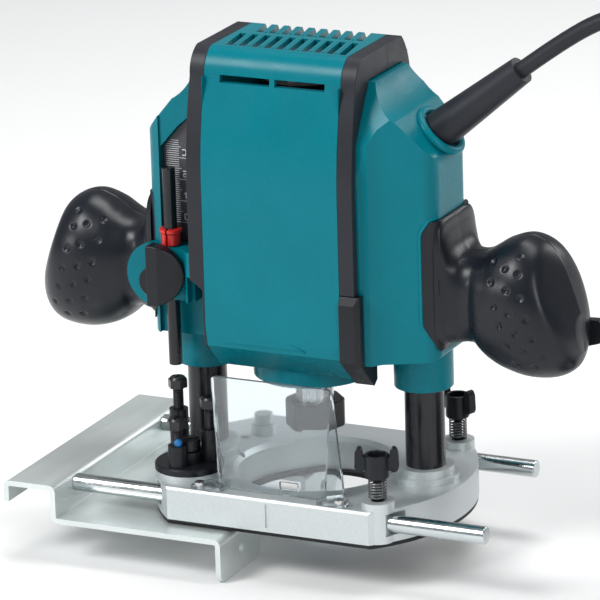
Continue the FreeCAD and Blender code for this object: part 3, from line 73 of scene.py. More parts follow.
class Look:
    """A principled material with procedural detail in object space."""

    def __init__(self, name, colour, roughness, metallic=0.0, **sockets):
        self.material = bpy.data.materials.new(name)
        self.material.use_nodes = True
        self.tree = self.material.node_tree
        self.shader = self.tree.nodes["Principled BSDF"]
        self.shader.inputs["Base Color"].default_value = (*colour, 1.0)
        self.shader.inputs["Roughness"].default_value = roughness
        self.shader.inputs["Metallic"].default_value = metallic
        for socket, value in sockets.items():
            self.shader.inputs[socket.replace("_", " ")].default_value = value
        self.colour = colour
        self.height = None
        self.place = self.add("ShaderNodeTexCoord").outputs["Object"]

    def add(self, kind, **settings):
        """A new shader node with its settings."""
        node = self.tree.nodes.new(kind)
        for key, value in settings.items():
            setattr(node, key, value)
        return node

    def link(self, output, target):
        self.tree.links.new(output, target)

    def noise(self, scale, detail=3.0, stretch=(1, 1, 1)):
        """Noise in object space; a small stretch draws it out along that axis."""
        mapping = self.add("ShaderNodeMapping")
        mapping.inputs["Scale"].default_value = stretch
        self.link(self.place, mapping.inputs["Vector"])
        texture = self.add("ShaderNodeTexNoise")
        texture.inputs["Scale"].default_value = scale
        texture.inputs["Detail"].default_value = detail
        texture.inputs["Roughness"].default_value = NOISE_ROUGHNESS
        self.link(mapping.outputs["Vector"], texture.inputs["Vector"])
        return texture.outputs["Fac"]

    def cells(self, scale):
        texture = self.add("ShaderNodeTexVoronoi")
        texture.inputs["Scale"].default_value = scale
        self.link(self.place, texture.inputs["Vector"])
        return texture.outputs["Distance"]

    def spread(self, source, low, high):
        """Map a texture's middle range onto low..high."""
        node = self.add("ShaderNodeMapRange")
        for socket, value in zip(("From Min", "From Max", "To Min", "To Max"), (*MIDDLE_RANGE, low, high)):
            node.inputs[socket].default_value = value
        self.link(source, node.inputs["Value"])
        return node.outputs["Result"]

    def mottle(self, source, other):
        """Base colour that wanders between the look's own colour and another."""
        mix = self.add("ShaderNodeMix", data_type="RGBA")
        mix.inputs[6].default_value = (*self.colour, 1.0)
        mix.inputs[7].default_value = (*other, 1.0)
        self.link(self.spread(source, 0.0, 1.0), mix.inputs[0])
        self.link(mix.outputs[2], self.shader.inputs["Base Color"])

    def roughen(self, source, low, high):
        self.link(self.spread(source, low, high), self.shader.inputs["Roughness"])

    def bump(self, source, depth, strength=1.0):
        """Add a bump on top of those that are there; depth is in metres."""
        node = self.add("ShaderNodeBump")
        node.inputs["Strength"].default_value = strength
        node.inputs["Distance"].default_value = depth
        self.link(source, node.inputs["Height"])
        if self.height is not None:
            self.link(self.height, node.inputs["Normal"])
        self.height = node.outputs["Normal"]
        self.link(self.height, self.shader.inputs["Normal"])


def moulded(name, colour, other, roughness, grain, depth, **sockets):
    """Moulded plastic or rubber: fine grain, slow colour wander, uneven gloss."""
    look = Look(name, colour, roughness, **sockets)
    look.mottle(look.noise(26, 2.0), other)
    look.roughen(look.noise(70, 4.0), roughness * 0.86, roughness * 1.14)
    look.bump(look.noise(grain, 2.0), depth)
    return look.material


def machined(name, colour, other, roughness, stretch, depth):
    """Metal with fine tool marks, drawn out along the stretch's small axes."""
    look = Look(name, colour, roughness, metallic=1.0)
    marks = look.noise(900, 3.0, stretch)
    look.mottle(look.noise(38, 3.0), other)
    look.roughen(marks, roughness * 0.75, roughness * 1.3)
    look.bump(marks, depth)
    return look.material


def cast_metal():
    """Cast aluminium with a fine grainy skin."""
    look = Look("cast_aluminium", (0.60, 0.64, 0.645), 0.38, metallic=0.55)
    look.mottle(look.noise(3000, 2.0), (0.52, 0.56, 0.565))
    look.roughen(look.noise(900, 3.0), 0.36, 0.48)
    look.bump(look.cells(2400), 0.00002)
    look.bump(look.noise(4200, 2.0), 0.00002)
    return look.material


def zinc_plate():
    """Zinc-plated sheet steel with faint rolling marks."""
    look = Look("zinc_plated_steel", (0.70, 0.75, 0.74), 0.34, metallic=0.6)
    look.mottle(look.noise(14, 4.0), (0.62, 0.67, 0.665))
    rolled = look.noise(500, 3.0, (1, 0.03, 1))
    look.roughen(rolled, 0.3, 0.42)
    look.bump(rolled, 0.000006)
    return look.material


def clear_pane():
    """Clear moulded plastic with a slight milky haze."""
    look = Look("clear_polycarbonate", (0.80, 0.86, 0.89), 0.05, Transmission_Weight=0.93, IOR=1.45)
    look.roughen(look.noise(180, 4.0), 0.02, 0.07)
    look.bump(look.noise(45, 2.0), 0.00005, 0.25)
    return look.material


def blackened(name, colour, other, roughness):
    """Metal under a black finish, with faint turning marks."""
    look = Look(name, colour, roughness, metallic=0.3)
    marks = look.noise(900, 3.0, (1, 1, 0.05))
    look.mottle(look.noise(60, 3.0), other)
    look.roughen(marks, roughness * 0.8, roughness * 1.25)
    look.bump(marks, 0.000012)
    return look.material


TEAL = moulded("teal_plastic", (0.0, 0.158, 0.200), (0.0, 0.146, 0.186), 0.28, 2600, 0.000025,
               Specular_IOR_Level=0.14)
RUBBER = moulded("black_rubber", (0.014, 0.016, 0.021), (0.018, 0.020, 0.026), 0.42, 2300, 0.00004,
                 Specular_IOR_Level=0.26)
BLACK = moulded("black_plastic", (0.007, 0.008, 0.011), (0.010, 0.012, 0.015), 0.3, 1900, 0.00003,
                Specular_IOR_Level=0.25)
KNOB = moulded("knob_plastic", (0.005, 0.007, 0.011), (0.008, 0.010, 0.015), 0.31, 1500, 0.00002,
               Specular_IOR_Level=0.32)
SOLE = moulded("sole_phenolic", (0.010, 0.011, 0.012), (0.016, 0.017, 0.018), 0.5, 1400, 0.00004,
               Specular_IOR_Level=0.2)
SHEATH = moulded("cord_sheath", (0.014, 0.016, 0.021), (0.018, 0.021, 0.026), 0.42, 1700, 0.00004,
                 Specular_IOR_Level=0.26)
RED = moulded("red_plastic", (0.66, 0.022, 0.014), (0.58, 0.016, 0.012), 0.28, 1600, 0.00003)
SCALE = moulded("scale_grey", (0.040, 0.038, 0.048), (0.050, 0.048, 0.058), 0.45, 1800, 0.00003)
WHITE = moulded("white_print", (0.8, 0.81, 0.8), (0.72, 0.73, 0.73), 0.5, 1800, 0.00002)
CARBON = moulded("carbon", (0.03, 0.03, 0.03), (0.05, 0.05, 0.05), 0.6, 1800, 0.00005)
LOCKER = moulded("thread_locker", (0.0, 0.155, 0.42), (0.0, 0.12, 0.34), 0.35, 1800, 0.00005)
ALUMINIUM = cast_metal()
ZINC = zinc_plate()
CLEAR = clear_pane()
ROD = machined("ground_steel", (0.62, 0.66, 0.67), (0.55, 0.60, 0.61), 0.2, (1, 0.06, 0.06), 0.000004)
COLUMN = blackened("black_column", (0.009, 0.010, 0.013), (0.013, 0.014, 0.017), 0.24)
DARK = blackened("blackened_steel", (0.016, 0.017, 0.019), (0.025, 0.026, 0.028), 0.32)
SPRING = blackened("spring_steel", (0.10, 0.105, 0.11), (0.14, 0.145, 0.15), 0.3)
BRIGHT = machined("bright_steel", (0.62, 0.62, 0.61), (0.52, 0.52, 0.52), 0.28, (1, 1, 0.3), 0.00001)
COPPER = machined("copper", (0.68, 0.33, 0.18), (0.55, 0.25, 0.13), 0.35, (1, 1, 0.2), 0.00003)
BRONZE = machined("bronze", (0.55, 0.38, 0.18), (0.45, 0.30, 0.14), 0.42, (1, 1, 0.3), 0.00003)
LAMINATED = machined("laminations", (0.30, 0.31, 0.32), (0.22, 0.22, 0.23), 0.45, (0.02, 0.02, 1), 0.00008)


def paint(obj, material):
    """Give an object one material."""
    obj.data.materials.clear()
    obj.data.materials.append(material)
    return obj


NODE_LOOKS = {
    ALUMINIUM: ("base_casting",),
    SOLE: ("sole_plate",),
    COLUMN: ("column_left", "column_right", "stopper_pole"),
    DARK: ("sole_screws", "stopper_bolt_low", "stopper_bolt_middle", "stopper_bolt_high", "housing_screws",
           "collet_cone", "collet_nut", "return_springs", "turret_pivot"),
    BRIGHT: ("wing_bolt_springs", "deflector_screws", "spindle", "bearing_outer_rings",
             "bearing_inner_rings", "bearing_balls", "brush_springs", "plug_pins"),
    ROD: ("guide_rods",),
    ZINC: ("fence_plate",),
    CLEAR: ("chip_deflector",),
    TEAL: ("housing_front", "housing_rear", "column_sleeves"),
    RUBBER: ("bands_front", "bands_rear", "bearing_holders", "cord_guard"),
    BLACK: ("corner_guard", "switch_block", "switch_lever", "lock_lever", "shaft_lock", "clamp_knob",
            "stopper_block", "wing_bolt_front", "wing_bolt_rear", "cooling_fan", "cord_tie"),
    KNOB: ("handle_left_front", "handle_left_rear", "handle_right_front", "handle_right_rear"),
    SCALE: ("scale_plate",),
    RED: ("depth_pointer",),
    SHEATH: ("cord", "cord_coil", "plug_body"),
    COPPER: ("commutator", "stator_windings", "armature_windings"),
    LAMINATED: ("stator_core", "armature_core"),
    BRONZE: ("guide_bushes", "brush_holders"),
    CARBON: ("carbon_brushes",),
}
for look, members in NODE_LOOKS.items():
    for member in members:
        paint(nodes[member], look)


# ---------------------------------------------------------------- mesh helpers
EDGE_SEGMENTS = 3
# angles in degrees: an edge that is rounded, and one between two triangles of a flat face
SHARP_EDGE = 28.0
FLAT_EDGE = 0.6
# a printed line's height over its face, and how far any line's back is sunk in the face
PRINT_HEIGHT = 0.06
STROKE_ROOT = 0.02
# points in each turn of a helix, and round a turned shape
HELIX_STEPS = 20
TURNED_SIDES = 40


def new_piece(name, bm, body, material, smooth=35.0):
    """Turn a bmesh into a piece that rides on a body."""
    mesh = bpy.data.meshes.new(name)
    bm.normal_update()
    bm.to_mesh(mesh)
    bm.free()
    mesh.shade_smooth()
    mesh.set_sharp_from_angle(angle=math.radians(smooth))
    piece = bpy.data.objects.new(name, mesh)
    bpy.context.scene.collection.objects.link(piece)
    paint(piece, material)
    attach(piece, body)
    return piece


def soften(piece, width):
    """Rounded edges, width in millimetres, with even shading."""
    bevel = piece.modifiers.new("edges", "BEVEL")
    bevel.width = width * MM
    bevel.segments = EDGE_SEGMENTS
    bevel.limit_method = "ANGLE"
    bevel.angle_limit = math.radians(SHARP_EDGE)
    bevel.harden_normals = False
    even = piece.modifiers.new("shading", "WEIGHTED_NORMAL")
    even.keep_sharp = True


def rounded_copy(node, width, body, keep=None, name=None):
    """A piece in a CAD node's own shape, but with rounded edges; keep(centre) picks faces."""
    source = nodes[node]
    bm = bmesh.new()
    bm.from_mesh(source.data)
    bmesh.ops.remove_doubles(bm, verts=bm.verts, dist=1e-6)
    if keep:
        waste = [face for face in bm.faces if not keep(face.calc_center_median() / MM)]
        bmesh.ops.delete(bm, geom=waste, context="FACES")
    bmesh.ops.dissolve_limit(bm, angle_limit=math.radians(FLAT_EDGE), verts=bm.verts, edges=bm.edges)
    piece = new_piece(name or node + "_shape", bm, body, source.data.materials[0])
    soften(piece, width)
    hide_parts(node)
    return piece


def add_tube(bm, points, radius, sides=10, closed=False):
    """A round tube through points, with flat ends unless it is closed."""
    points = [Vector(p) * MM for p in points]
    count = len(points)
    rings = []
    side = None
    for index, place in enumerate(points):
        before = points[index - 1] if index or closed else place
        after = points[(index + 1) % count] if index < count - 1 or closed else place
        along = (after - before).normalized()
        if side is None:
            side = along.orthogonal().normalized()
        side = (side - along * side.dot(along)).normalized()
        across = along.cross(side)
        ring = []
        for step in range(sides):
            angle = 2 * math.pi * step / sides
            spoke = side * math.cos(angle) + across * math.sin(angle)
            ring.append(bm.verts.new(place + spoke * radius * MM))
        rings.append(ring)
    pairs = list(zip(rings, rings[1:])) + ([(rings[-1], rings[0])] if closed else [])
    for low, high in pairs:
        for step in range(sides):
            after = (step + 1) % sides
            bm.faces.new((low[step], low[after], high[after], high[step]))
    if not closed:
        bm.faces.new(reversed(rings[0]))
        bm.faces.new(rings[-1])


def add_stroke(bm, start, end, width, face, height=PRINT_HEIGHT):
    """A printed or moulded line on a plane of constant Y; start and end are (x, z)."""
    a, b = Vector(start), Vector(end)
    along = (b - a).normalized() * width / 2
    across = Vector((-along.y, along.x))
    corners = [a - along - across, b + along - across, b + along + across, a - along + across]
    front = [bm.verts.new(Vector((c.x, face - height, c.y)) * MM) for c in corners]
    back = [bm.verts.new(Vector((c.x, face + STROKE_ROOT, c.y)) * MM) for c in corners]
    bm.faces.new(front)
    bm.faces.new(list(reversed(back)))
    for index in range(4):
        after = (index + 1) % 4
        bm.faces.new((front[index], back[index], back[after], front[after]))


def add_helix(bm, centre, radius, foot, top, pitch, wire, sides=7):
    """A helical wire about a vertical axis."""
    turns = (top - foot) / pitch
    steps = int(turns * HELIX_STEPS)
    points = []
    for step in range(steps + 1):
        angle = 2 * math.pi * turns * step / steps
        height = foot + (top - foot) * step / steps
        points.append((centre[0] + radius * math.cos(angle), centre[1] + radius * math.sin(angle), height))
    add_tube(bm, points, wire, sides)


# ---------------------------------------------------------------- housing, bands and base
# node, edge radius, body, and a slot name that the loop does not use
ROUNDED = (
    ("base_casting", 0.9, "base", "cast_aluminium"),
    ("sole_plate", 0.3, "base", "sole_plastic"),
    ("chip_deflector", 0.5, "base", "clear_plastic"),
    ("stopper_block", 0.5, "stopper_block", "black_plastic"),
    ("turret_pivot", 0.4, "base", "dark_steel"),
    ("guide_rods", 0.5, "edge_guide", "polished_steel"),
    ("fence_plate", 0.35, "edge_guide", "zinc_steel"),
    ("housing_front", 0.7, "motor", "teal_plastic"),
    ("housing_rear", 0.7, "motor", "teal_plastic"),
    ("bands_front", 0.6, "motor", "black_rubber"),
    ("bands_rear", 0.6, "motor", "black_rubber"),
    ("corner_guard", 0.9, "motor", "black_plastic"),
    ("column_sleeves", 0.6, "motor", "teal_plastic"),
    ("collet_nut", 0.6, "collet_nut", "dark_steel"),
    ("clamp_knob", 1.0, "clamp_knob", "black_plastic"),
    ("stopper_pole", 0.4, "stopper_pole", "dark_steel"),
    ("depth_pointer", 0.3, "depth_pointer", "red_plastic"),
    ("lock_lever", 0.9, "lock_lever", "black_plastic"),
    ("shaft_lock", 0.6, "shaft_lock", "black_plastic"),
    ("switch_lever", 0.9, "switch_lever", "black_plastic"),
)
for node, edge, body, finish in ROUNDED:
    rounded_copy(node, edge, body)


# distance from the middle and depth where a wing's front starts to slope, and where either face turns in
SLOPE_START = (48.5, 31.0)
FRONT_TURN = (65.5, 22.3)
REAR_TURN = (59.0, 19.8)
REAR_FLAT = 19.9
# how fast each face curves in past its turn
FRONT_CURVE = 0.3
REAR_CURVE = 0.07
# front view of the rim, as (distance from the middle, height)
NECK_RIM = (
    (70.0, 84.6), (68.4, 88.0), (64.6, 95.6), (64.2, 98.0), (64.2, 137.2), (64.7, 139.6), (67.6, 144.3),
    (69.6, 144.9),
)
RIM_RADIUS = 0.8
RIM_STAND = 0.15


def wing_face(x, way):
    """Y of a wing's sloping front or flat back face at a distance x from the middle."""
    if way > 0:
        if x < REAR_TURN[0]:
            return REAR_FLAT
        return REAR_TURN[1] - (x - REAR_TURN[0]) ** 2 * REAR_CURVE
    if x < FRONT_TURN[0]:
        slope = (SLOPE_START[1] - FRONT_TURN[1]) / (FRONT_TURN[0] - SLOPE_START[0])
        return -(SLOPE_START[1] - (x - SLOPE_START[0]) * slope)
    return -(FRONT_TURN[1] - (x - FRONT_TURN[0]) ** 2 * FRONT_CURVE)


def make_neck_rim(name, side, way):
    """Raised teal rim round a handle's neck plate."""
    bm = bmesh.new()
    add_tube(bm, [(side * x, wing_face(x, way) + RIM_STAND * way, z) for x, z in NECK_RIM], RIM_RADIUS)
    new_piece(name, bm, "motor", TEAL)


make_neck_rim("neck_rim_right_front", 1, -1)
make_neck_rim("neck_rim_right_rear", 1, 1)
make_neck_rim("neck_rim_left_rear", -1, 1)


def tilted(degrees):
    """Direction in the plane of the columns, at an angle above +X."""
    return Vector((math.cos(math.radians(degrees)), 0, math.sin(math.radians(degrees))))


# where the cord guard leaves the right wing, and its direction
GUARD_ROOT = Vector((64.9, 0, 180.0))
GUARD_WAY = tilted(38)
COLLAR_HALF_WIDTH = 11.0
COLLAR_HALF_HEIGHT = 11.4
COLLAR_RADIUS = 2.0
COLLAR_STEPS = 48
ARROW_STROKES = (((-24.0, 84.0), (15.0, 84.0), -40.6), ((8.0, 87.0), (15.0, 84.0), -41.0))
ARROW_WIDTH = 0.5
ARROW_HEIGHT = 0.25
# each row of ribs: front and back end, left end of the row, number of ribs
RIB_ROWS = ((-23.0, -3.2, -30.0, 9), (1.4, 14.5, -27.0, 8))
RIB_PITCH = 6.1
RIB_START = 4.65
RIB_LEAN = 2.8
RIB_RADIUS = 1.4
RIB_DROP = 1.1


def make_guard_collar():
    """Raised teal lip round the cord guard's root."""
    centre = GUARD_ROOT + GUARD_WAY * 1.2 - tilted(52)
    up = tilted(135)
    points = []
    for step in range(COLLAR_STEPS):
        angle = 2 * math.pi * step / COLLAR_STEPS
        points.append(centre + Vector((0, COLLAR_HALF_WIDTH * math.cos(angle), 0))
                      + up * COLLAR_HALF_HEIGHT * math.sin(angle))
    bm = bmesh.new()
    add_tube(bm, points, COLLAR_RADIUS, 12, closed=True)
    new_piece("guard_collar", bm, "motor", TEAL)


def make_housing_marks():
    """Moulded arrow line low on the front panel."""
    bm = bmesh.new()
    for start, end, face in ARROW_STROKES:
        add_stroke(bm, start, end, ARROW_WIDTH, face, ARROW_HEIGHT)
    new_piece("moulded_arrow", bm, "motor", TEAL)


def make_roof_ribs():
    """Rounded ribs between the roof's slots, in two rows."""
    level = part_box("housing_front")[1][2] / MM - RIB_DROP
    bm = bmesh.new()
    for front, back, left, count in RIB_ROWS:
        for index in range(count):
            x = left + RIB_PITCH * index + RIB_START
            add_tube(bm, [(x + RIB_LEAN, front, level), (x, back, level)], RIB_RADIUS, 12)
    new_piece("roof_ribs", bm, "motor", TEAL)


make_guard_collar()
make_housing_marks()
make_roof_ribs()


# ---------------------------------------------------------------- depth scale
# strokes of each figure on a grid one wide and two high
DIGITS = {
    0: ((0, 0), (1, 0), (1, 2), (0, 2), (0, 0)),
    1: ((0.2, 1.6), (0.6, 2), (0.6, 0)),
    2: ((0, 2), (1, 2), (1, 1), (0, 1), (0, 0), (1, 0)),
    3: ((0, 2), (1, 2), (1, 1), (0.3, 1), (1, 1), (1, 0), (0, 0)),
}


# level of the zero, and number of millimetres marked
SCALE_ZERO = 131.5
SCALE_LENGTH = 38
# left end of the marks, and the right end of those at each centimetre, half centimetre and millimetre
SCALE_LEFT = -60.8
SCALE_RIGHT = (-48.5, -53.6, -54.6)
# above this level the plate's left edge slopes in
SHOULDER = 166.5
SHOULDER_SLOPE = 0.9
MARK_WIDTH = 0.22
FIGURE_LEFT = -52.6
FIGURE_WIDTH = 1.6
FIGURE_HALF_HEIGHT = 1.3
FIGURE_STROKE = 0.38


def make_scale_print():
    """White graduations a millimetre apart, with a figure every centimetre."""
    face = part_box("scale_plate")[0][1] / MM
    centimetre, half, millimetre = SCALE_RIGHT
    bm = bmesh.new()
    for step in range(SCALE_LENGTH + 1):
        height = SCALE_ZERO + step
        right = centimetre if step % 10 == 0 else (half if step % 5 == 0 else millimetre)
        left = SCALE_LEFT + max(0, height - SHOULDER) * SHOULDER_SLOPE
        add_stroke(bm, (left, height), (right, height), MARK_WIDTH, face)
    for figure, strokes in DIGITS.items():
        foot = SCALE_ZERO + 10 * figure + FIGURE_HALF_HEIGHT
        corners = [(FIGURE_LEFT + FIGURE_WIDTH * x, foot + FIGURE_HALF_HEIGHT * z) for x, z in strokes]
        for start, end in zip(corners, corners[1:]):
            add_stroke(bm, start, end, FIGURE_STROKE, face)
    new_piece("scale_print", bm, "motor", WHITE)


make_scale_print()


# ---------------------------------------------------------------- stopper bolts and wing bolts
BOLT_HEAD = 5.0
HEAD_EDGE = 0.35
# how far the core runs into the head, and where the thread starts above the foot
CORE_SINK = 0.3
THREAD_START = 0.4
CORE_RADIUS = 2.05
THREAD_PITCH = 0.9
THREAD_WIRE = 0.42


def extent(node):
    """A CAD node's middle (x, y), foot and top, in millimetres."""
    low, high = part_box(node)
    return ((low[0] + high[0]) / 2 / MM, (low[1] + high[1]) / 2 / MM), low[2] / MM, high[2] / MM


def make_threaded_bolt(name):
    """Stopper bolt with a helical thread below a hexagon head."""
    node = f"stopper_bolt_{name}"
    centre, foot, top = extent(node)
    under_head = top - BOLT_HEAD
    rounded_copy(node, HEAD_EDGE, node, lambda place: place.z > under_head - 0.01,
                 f"bolt_head_{name}")
    bm = bmesh.new()
    add_tube(bm, [(*centre, foot), (*centre, under_head + CORE_SINK)], CORE_RADIUS, 24)
    add_helix(bm, centre, CORE_RADIUS, foot + THREAD_START, under_head - CORE_SINK,
              THREAD_PITCH, THREAD_WIRE)
    thread = new_piece(f"bolt_thread_{name}", bm, node, DARK)
    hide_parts(node)


def add_turned(bm, profile):
    """A turned shape about the Z axis; profile is (radius, z) from the foot to the end of the run."""
    rings = []
    for radius, z in profile:
        ring = []
        for step in range(TURNED_SIDES):
            angle = 2 * math.pi * step / TURNED_SIDES
            ring.append(bm.verts.new(Vector((radius * math.cos(angle), radius * math.sin(angle), z)) * MM))
        rings.append(ring)
    for low, high in zip(rings, rings[1:]):
        for step in range(TURNED_SIDES):
            after = (step + 1) % TURNED_SIDES
            bm.faces.new((low[step], low[after], high[after], high[step]))
    bm.faces.new(reversed(rings[0]))
    bm.faces.new(rings[-1])


def add_slab(bm, outline, half):
    """A flat plate about the XZ plane; outline is (x, z), half is half its thickness."""
    front = [bm.verts.new(Vector((x, -half, z)) * MM) for x, z in outline]
    back = [bm.verts.new(Vector((x, half, z)) * MM) for x, z in outline]
    bm.faces.new(front)
    bm.faces.new(list(reversed(back)))
    for index in range(len(outline)):
        after = (index + 1) % len(outline)
        bm.faces.new((front[index], back[index], back[after], front[after]))


# profile of a wing bolt's stem and open cup, as (radius, height)
WING_CUP = (
    (1.9, 15.0), (1.9, 31.1), (4.9, 31.1), (5.5, 31.8), (5.6, 41.6), (5.3, 42.2), (4.5, 42.2), (4.2, 41.6),
    (4.1, 38.2),
)
# outline of a lug, as (distance from the bolt's axis, height)
WING_LUG = (
    (4.8, 35.4), (7.4, 33.9), (9.2, 34.6), (9.9, 36.4), (9.6, 43.0), (8.6, 45.1), (7.2, 45.4), (6.1, 44.2),
    (5.8, 41.6), (4.8, 40.8),
)
LUG_HALF_THICKNESS = 2.1
LUG_EDGE = 0.7


def make_wing_bolt(node, turn):
    """Wing bolt: a cup-shaped hub with an open top and two upright lugs, turned by an angle in degrees."""
    (x, y), _, _ = extent(node)
    place = Matrix.Translation(Vector((x, y, 0)) * MM)
    bm = bmesh.new()
    add_turned(bm, WING_CUP)
    for side in (-1, 1):
        add_slab(bm, [(side * x, z) for x, z in WING_LUG], LUG_HALF_THICKNESS)
    bmesh.ops.recalc_face_normals(bm, faces=bm.faces)
    bmesh.ops.transform(bm, matrix=place @ Matrix.Rotation(math.radians(turn), 4, "Z"), verts=bm.verts)
    piece = new_piece(node + "_shape", bm, node, BLACK)
    soften(piece, LUG_EDGE)
    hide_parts(node)


WING_COIL_RADIUS = 3.8
WING_COIL_REACH = 4.5
WING_COIL_PITCH = 1.3
WING_WIRE = 0.42
WING_COIL_GAP = 0.5
RETURN_PITCH = 4.6
RETURN_WIRE = 0.7


def make_wing_springs():
    """Springs under the wing bolts."""
    (x, _), foot, top = extent("wing_bolt_springs")
    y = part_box("wing_bolt_springs")[1][1] / MM - WING_COIL_REACH
    bm = bmesh.new()
    for side in (-1, 1):
        add_helix(bm, (x, side * y), WING_COIL_RADIUS, foot + WING_COIL_GAP, top - WING_COIL_GAP,
                  WING_COIL_PITCH, WING_WIRE)
    springs = new_piece("wing_bolt_coils", bm, "base", SPRING)
    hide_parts("wing_bolt_springs")


def make_return_springs():
    """The long coils inside the columns, drawn as fixed helices; in the real tool they shorten as the motor
    unit is plunged.
    """
    low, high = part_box("return_springs")
    radius = (high[1] - low[1]) / 2 / MM - RETURN_WIRE
    offset = (high[0] - low[0]) / 2 / MM - radius - RETURN_WIRE
    foot, top = low[2] / MM, high[2] / MM
    bm = bmesh.new()
    for side in (-1, 1):
        add_helix(bm, (side * offset, 0), radius, foot + RETURN_WIRE, top - RETURN_WIRE,
                  RETURN_PITCH, RETURN_WIRE)
    springs = new_piece("return_coils", bm, "base", SPRING)
    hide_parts("return_springs")
    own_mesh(springs)


DAB_RADIUS = 1.7
DAB_STRETCH = Vector((1.1, 1.0, 1.3))
DAB_OFFSET = Vector((1.2, -1.6, 34.4))


def make_thread_locker():
    """A dab of blue thread locker on the low stopper bolt."""
    (x, y), _, _ = extent("stopper_bolt_low")
    place = (Vector((x, y, 0)) + DAB_OFFSET) * MM
    bm = bmesh.new()
    bmesh.ops.create_icosphere(bm, subdivisions=3, radius=DAB_RADIUS * MM)
    for vert in bm.verts:
        vert.co = vert.co * DAB_STRETCH + place
    new_piece("thread_locker_dab", bm, "stopper_bolt_low", LOCKER)


for name in ("low", "middle", "high"):
    make_threaded_bolt(name)
for end, turn in (("front", 20.0), ("rear", -20.0)):
    make_wing_bolt("wing_bolt_" + end, turn)
make_wing_springs()
make_return_springs()
make_thread_locker()


# ---------------------------------------------------------------- handles
# distance from the middle, centre height, half height, half depth, squareness
KNOB_SECTIONS = (
    (69.6, 114.6, 29.3, 20.8, 6.5), (72.0, 114.2, 29.0, 20.2, 5.6), (73.2, 111.8, 26.2, 19.6, 4.8),
    (75.0, 108.2, 22.4, 19.0, 4.2), (77.5, 106.4, 20.6, 18.4, 3.6), (80.5, 106.2, 20.2, 17.9, 3.1),
    (84.5, 106.0, 20.8, 18.4, 2.8), (88.0, 104.8, 23.2, 20.2, 2.6), (92.0, 104.3, 26.2, 21.6, 2.4),
    (98.5, 104.6, 29.8, 23.3, 2.3), (107.5, 104.6, 32.2, 24.6, 2.2), (116.5, 103.0, 30.6, 23.6, 2.2),
    (124.0, 99.8, 25.6, 20.0, 2.2), (129.5, 96.2, 18.0, 14.0, 2.1), (132.3, 94.0, 9.0, 7.0, 2.0),
)
KNOB_RINGS = 190
KNOB_STEPS = 160
KNOB_CENTRE = Vector((107.0, 0.0, 104.0))
# the flat face pressed on a ball's outer end: its normal and distance, at the front and at the rear
FACETS = {-1: (Vector((0.899, 0.292, 0.321)), 151.0), 1: (Vector((0.942, 0.0, 0.337)), 157.4)}
FACET_BLEND = 2.0
LEFT_FACET_RELIEF = 1.5
# the seam's depth at the edge where two halves of a handle meet
SEAM_INSET = 0.35
# the plate's faces kept round the neck: those nearer than its outer face, and outside this ellipse
PLATE_REACH = 71.9
NECK_CENTRE = 114.3
NECK_HALF_HEIGHT = 28.6
NECK_HALF_DEPTH = 20.0
# places of the grip dimples, as (distance from the middle, height)
DIMPLES = (
    (96.2, 127.2), (96.6, 119.3), (99.0, 109.5), (101.3, 100.4), (104.2, 91.0), (107.0, 82.4),
    (102.7, 125.4), (104.6, 116.8), (106.6, 107.1), (108.9, 97.8), (112.3, 89.0), (115.6, 81.4),
    (108.9, 130.7), (109.9, 124.2), (111.9, 114.4), (114.2, 105.2), (116.9, 96.0), (120.7, 87.1),
)
# the dimpled side lies past this depth and distance from the middle
GRIP_DEPTH = 6.0
GRIP_START = 88.0
DIMPLE_RADIUS = 1.7
DIMPLE_DEPTH = 0.9


def smooth_between(rows, place):
    """A Catmull-Rom curve through rows of numbers; place counts rows."""
    index = min(int(place), len(rows) - 2)
    t = place - index
    near = [rows[min(max(index + k, 0), len(rows) - 1)] for k in (-1, 0, 1, 2)]
    return [0.5 * (2 * b + (c - a) * t + (2 * a - 5 * b + 4 * c - d) * t**2 + (3 * b - a - 3 * c + d) * t**3)
            for a, b, c, d in zip(*near)]


def knob_surface():
    """Rings of points on half a ball handle, as (distance from the middle, depth, height)."""
    rings = []
    for index in range(KNOB_RINGS + 1):
        reach, centre, tall, deep, power = smooth_between(
            KNOB_SECTIONS, (len(KNOB_SECTIONS) - 1) * index / KNOB_RINGS)
        ring = []
        for step in range(KNOB_STEPS + 1):
            angle = math.pi * (step / KNOB_STEPS - 0.5)
            sine, cosine = math.sin(angle), max(0.0, math.cos(angle))
            inset = SEAM_INSET if step in (0, KNOB_STEPS) else 0.0
            rise = math.copysign(abs(sine) ** (2 / power), sine) * (tall - inset)
            ring.append(Vector((reach, deep * cosine ** (2 / power), centre + rise)))
        rings.append(ring)
    return rings


def press_facet(point, normal, level):
    """Press the ball's outer end towards a flat face, with a soft crease round it."""
    stand = normal.dot(point) - level
    press = (stand + math.hypot(stand, FACET_BLEND)) / 2 / (normal.x**2 + normal.z**2)
    point.x -= normal.x * press
    point.z -= normal.z * press


def press_dimples(points):
    """Push round hollows into the side of the ball that faces outwards."""
    facing = [point for point in points if point.y > GRIP_DEPTH and point.x > GRIP_START]
    for reach, height in DIMPLES:
        centre = min(facing, key=lambda p: (p.x - reach) ** 2 + (p.z - height) ** 2).copy()
        for point in facing:
            gap = (point - centre).length
            if gap < DIMPLE_RADIUS:
                inward = (KNOB_CENTRE - centre).normalized()
                point += inward * DIMPLE_DEPTH * (1 - (gap / DIMPLE_RADIUS) ** 2)


def on_neck_plate(place):
    """Whether a face of a CAD handle belongs to the plate round its neck."""
    from_neck = math.hypot(place.y / NECK_HALF_DEPTH, (place.z - NECK_CENTRE) / NECK_HALF_HEIGHT)
    return abs(place.x) < PLATE_REACH and from_neck > 1


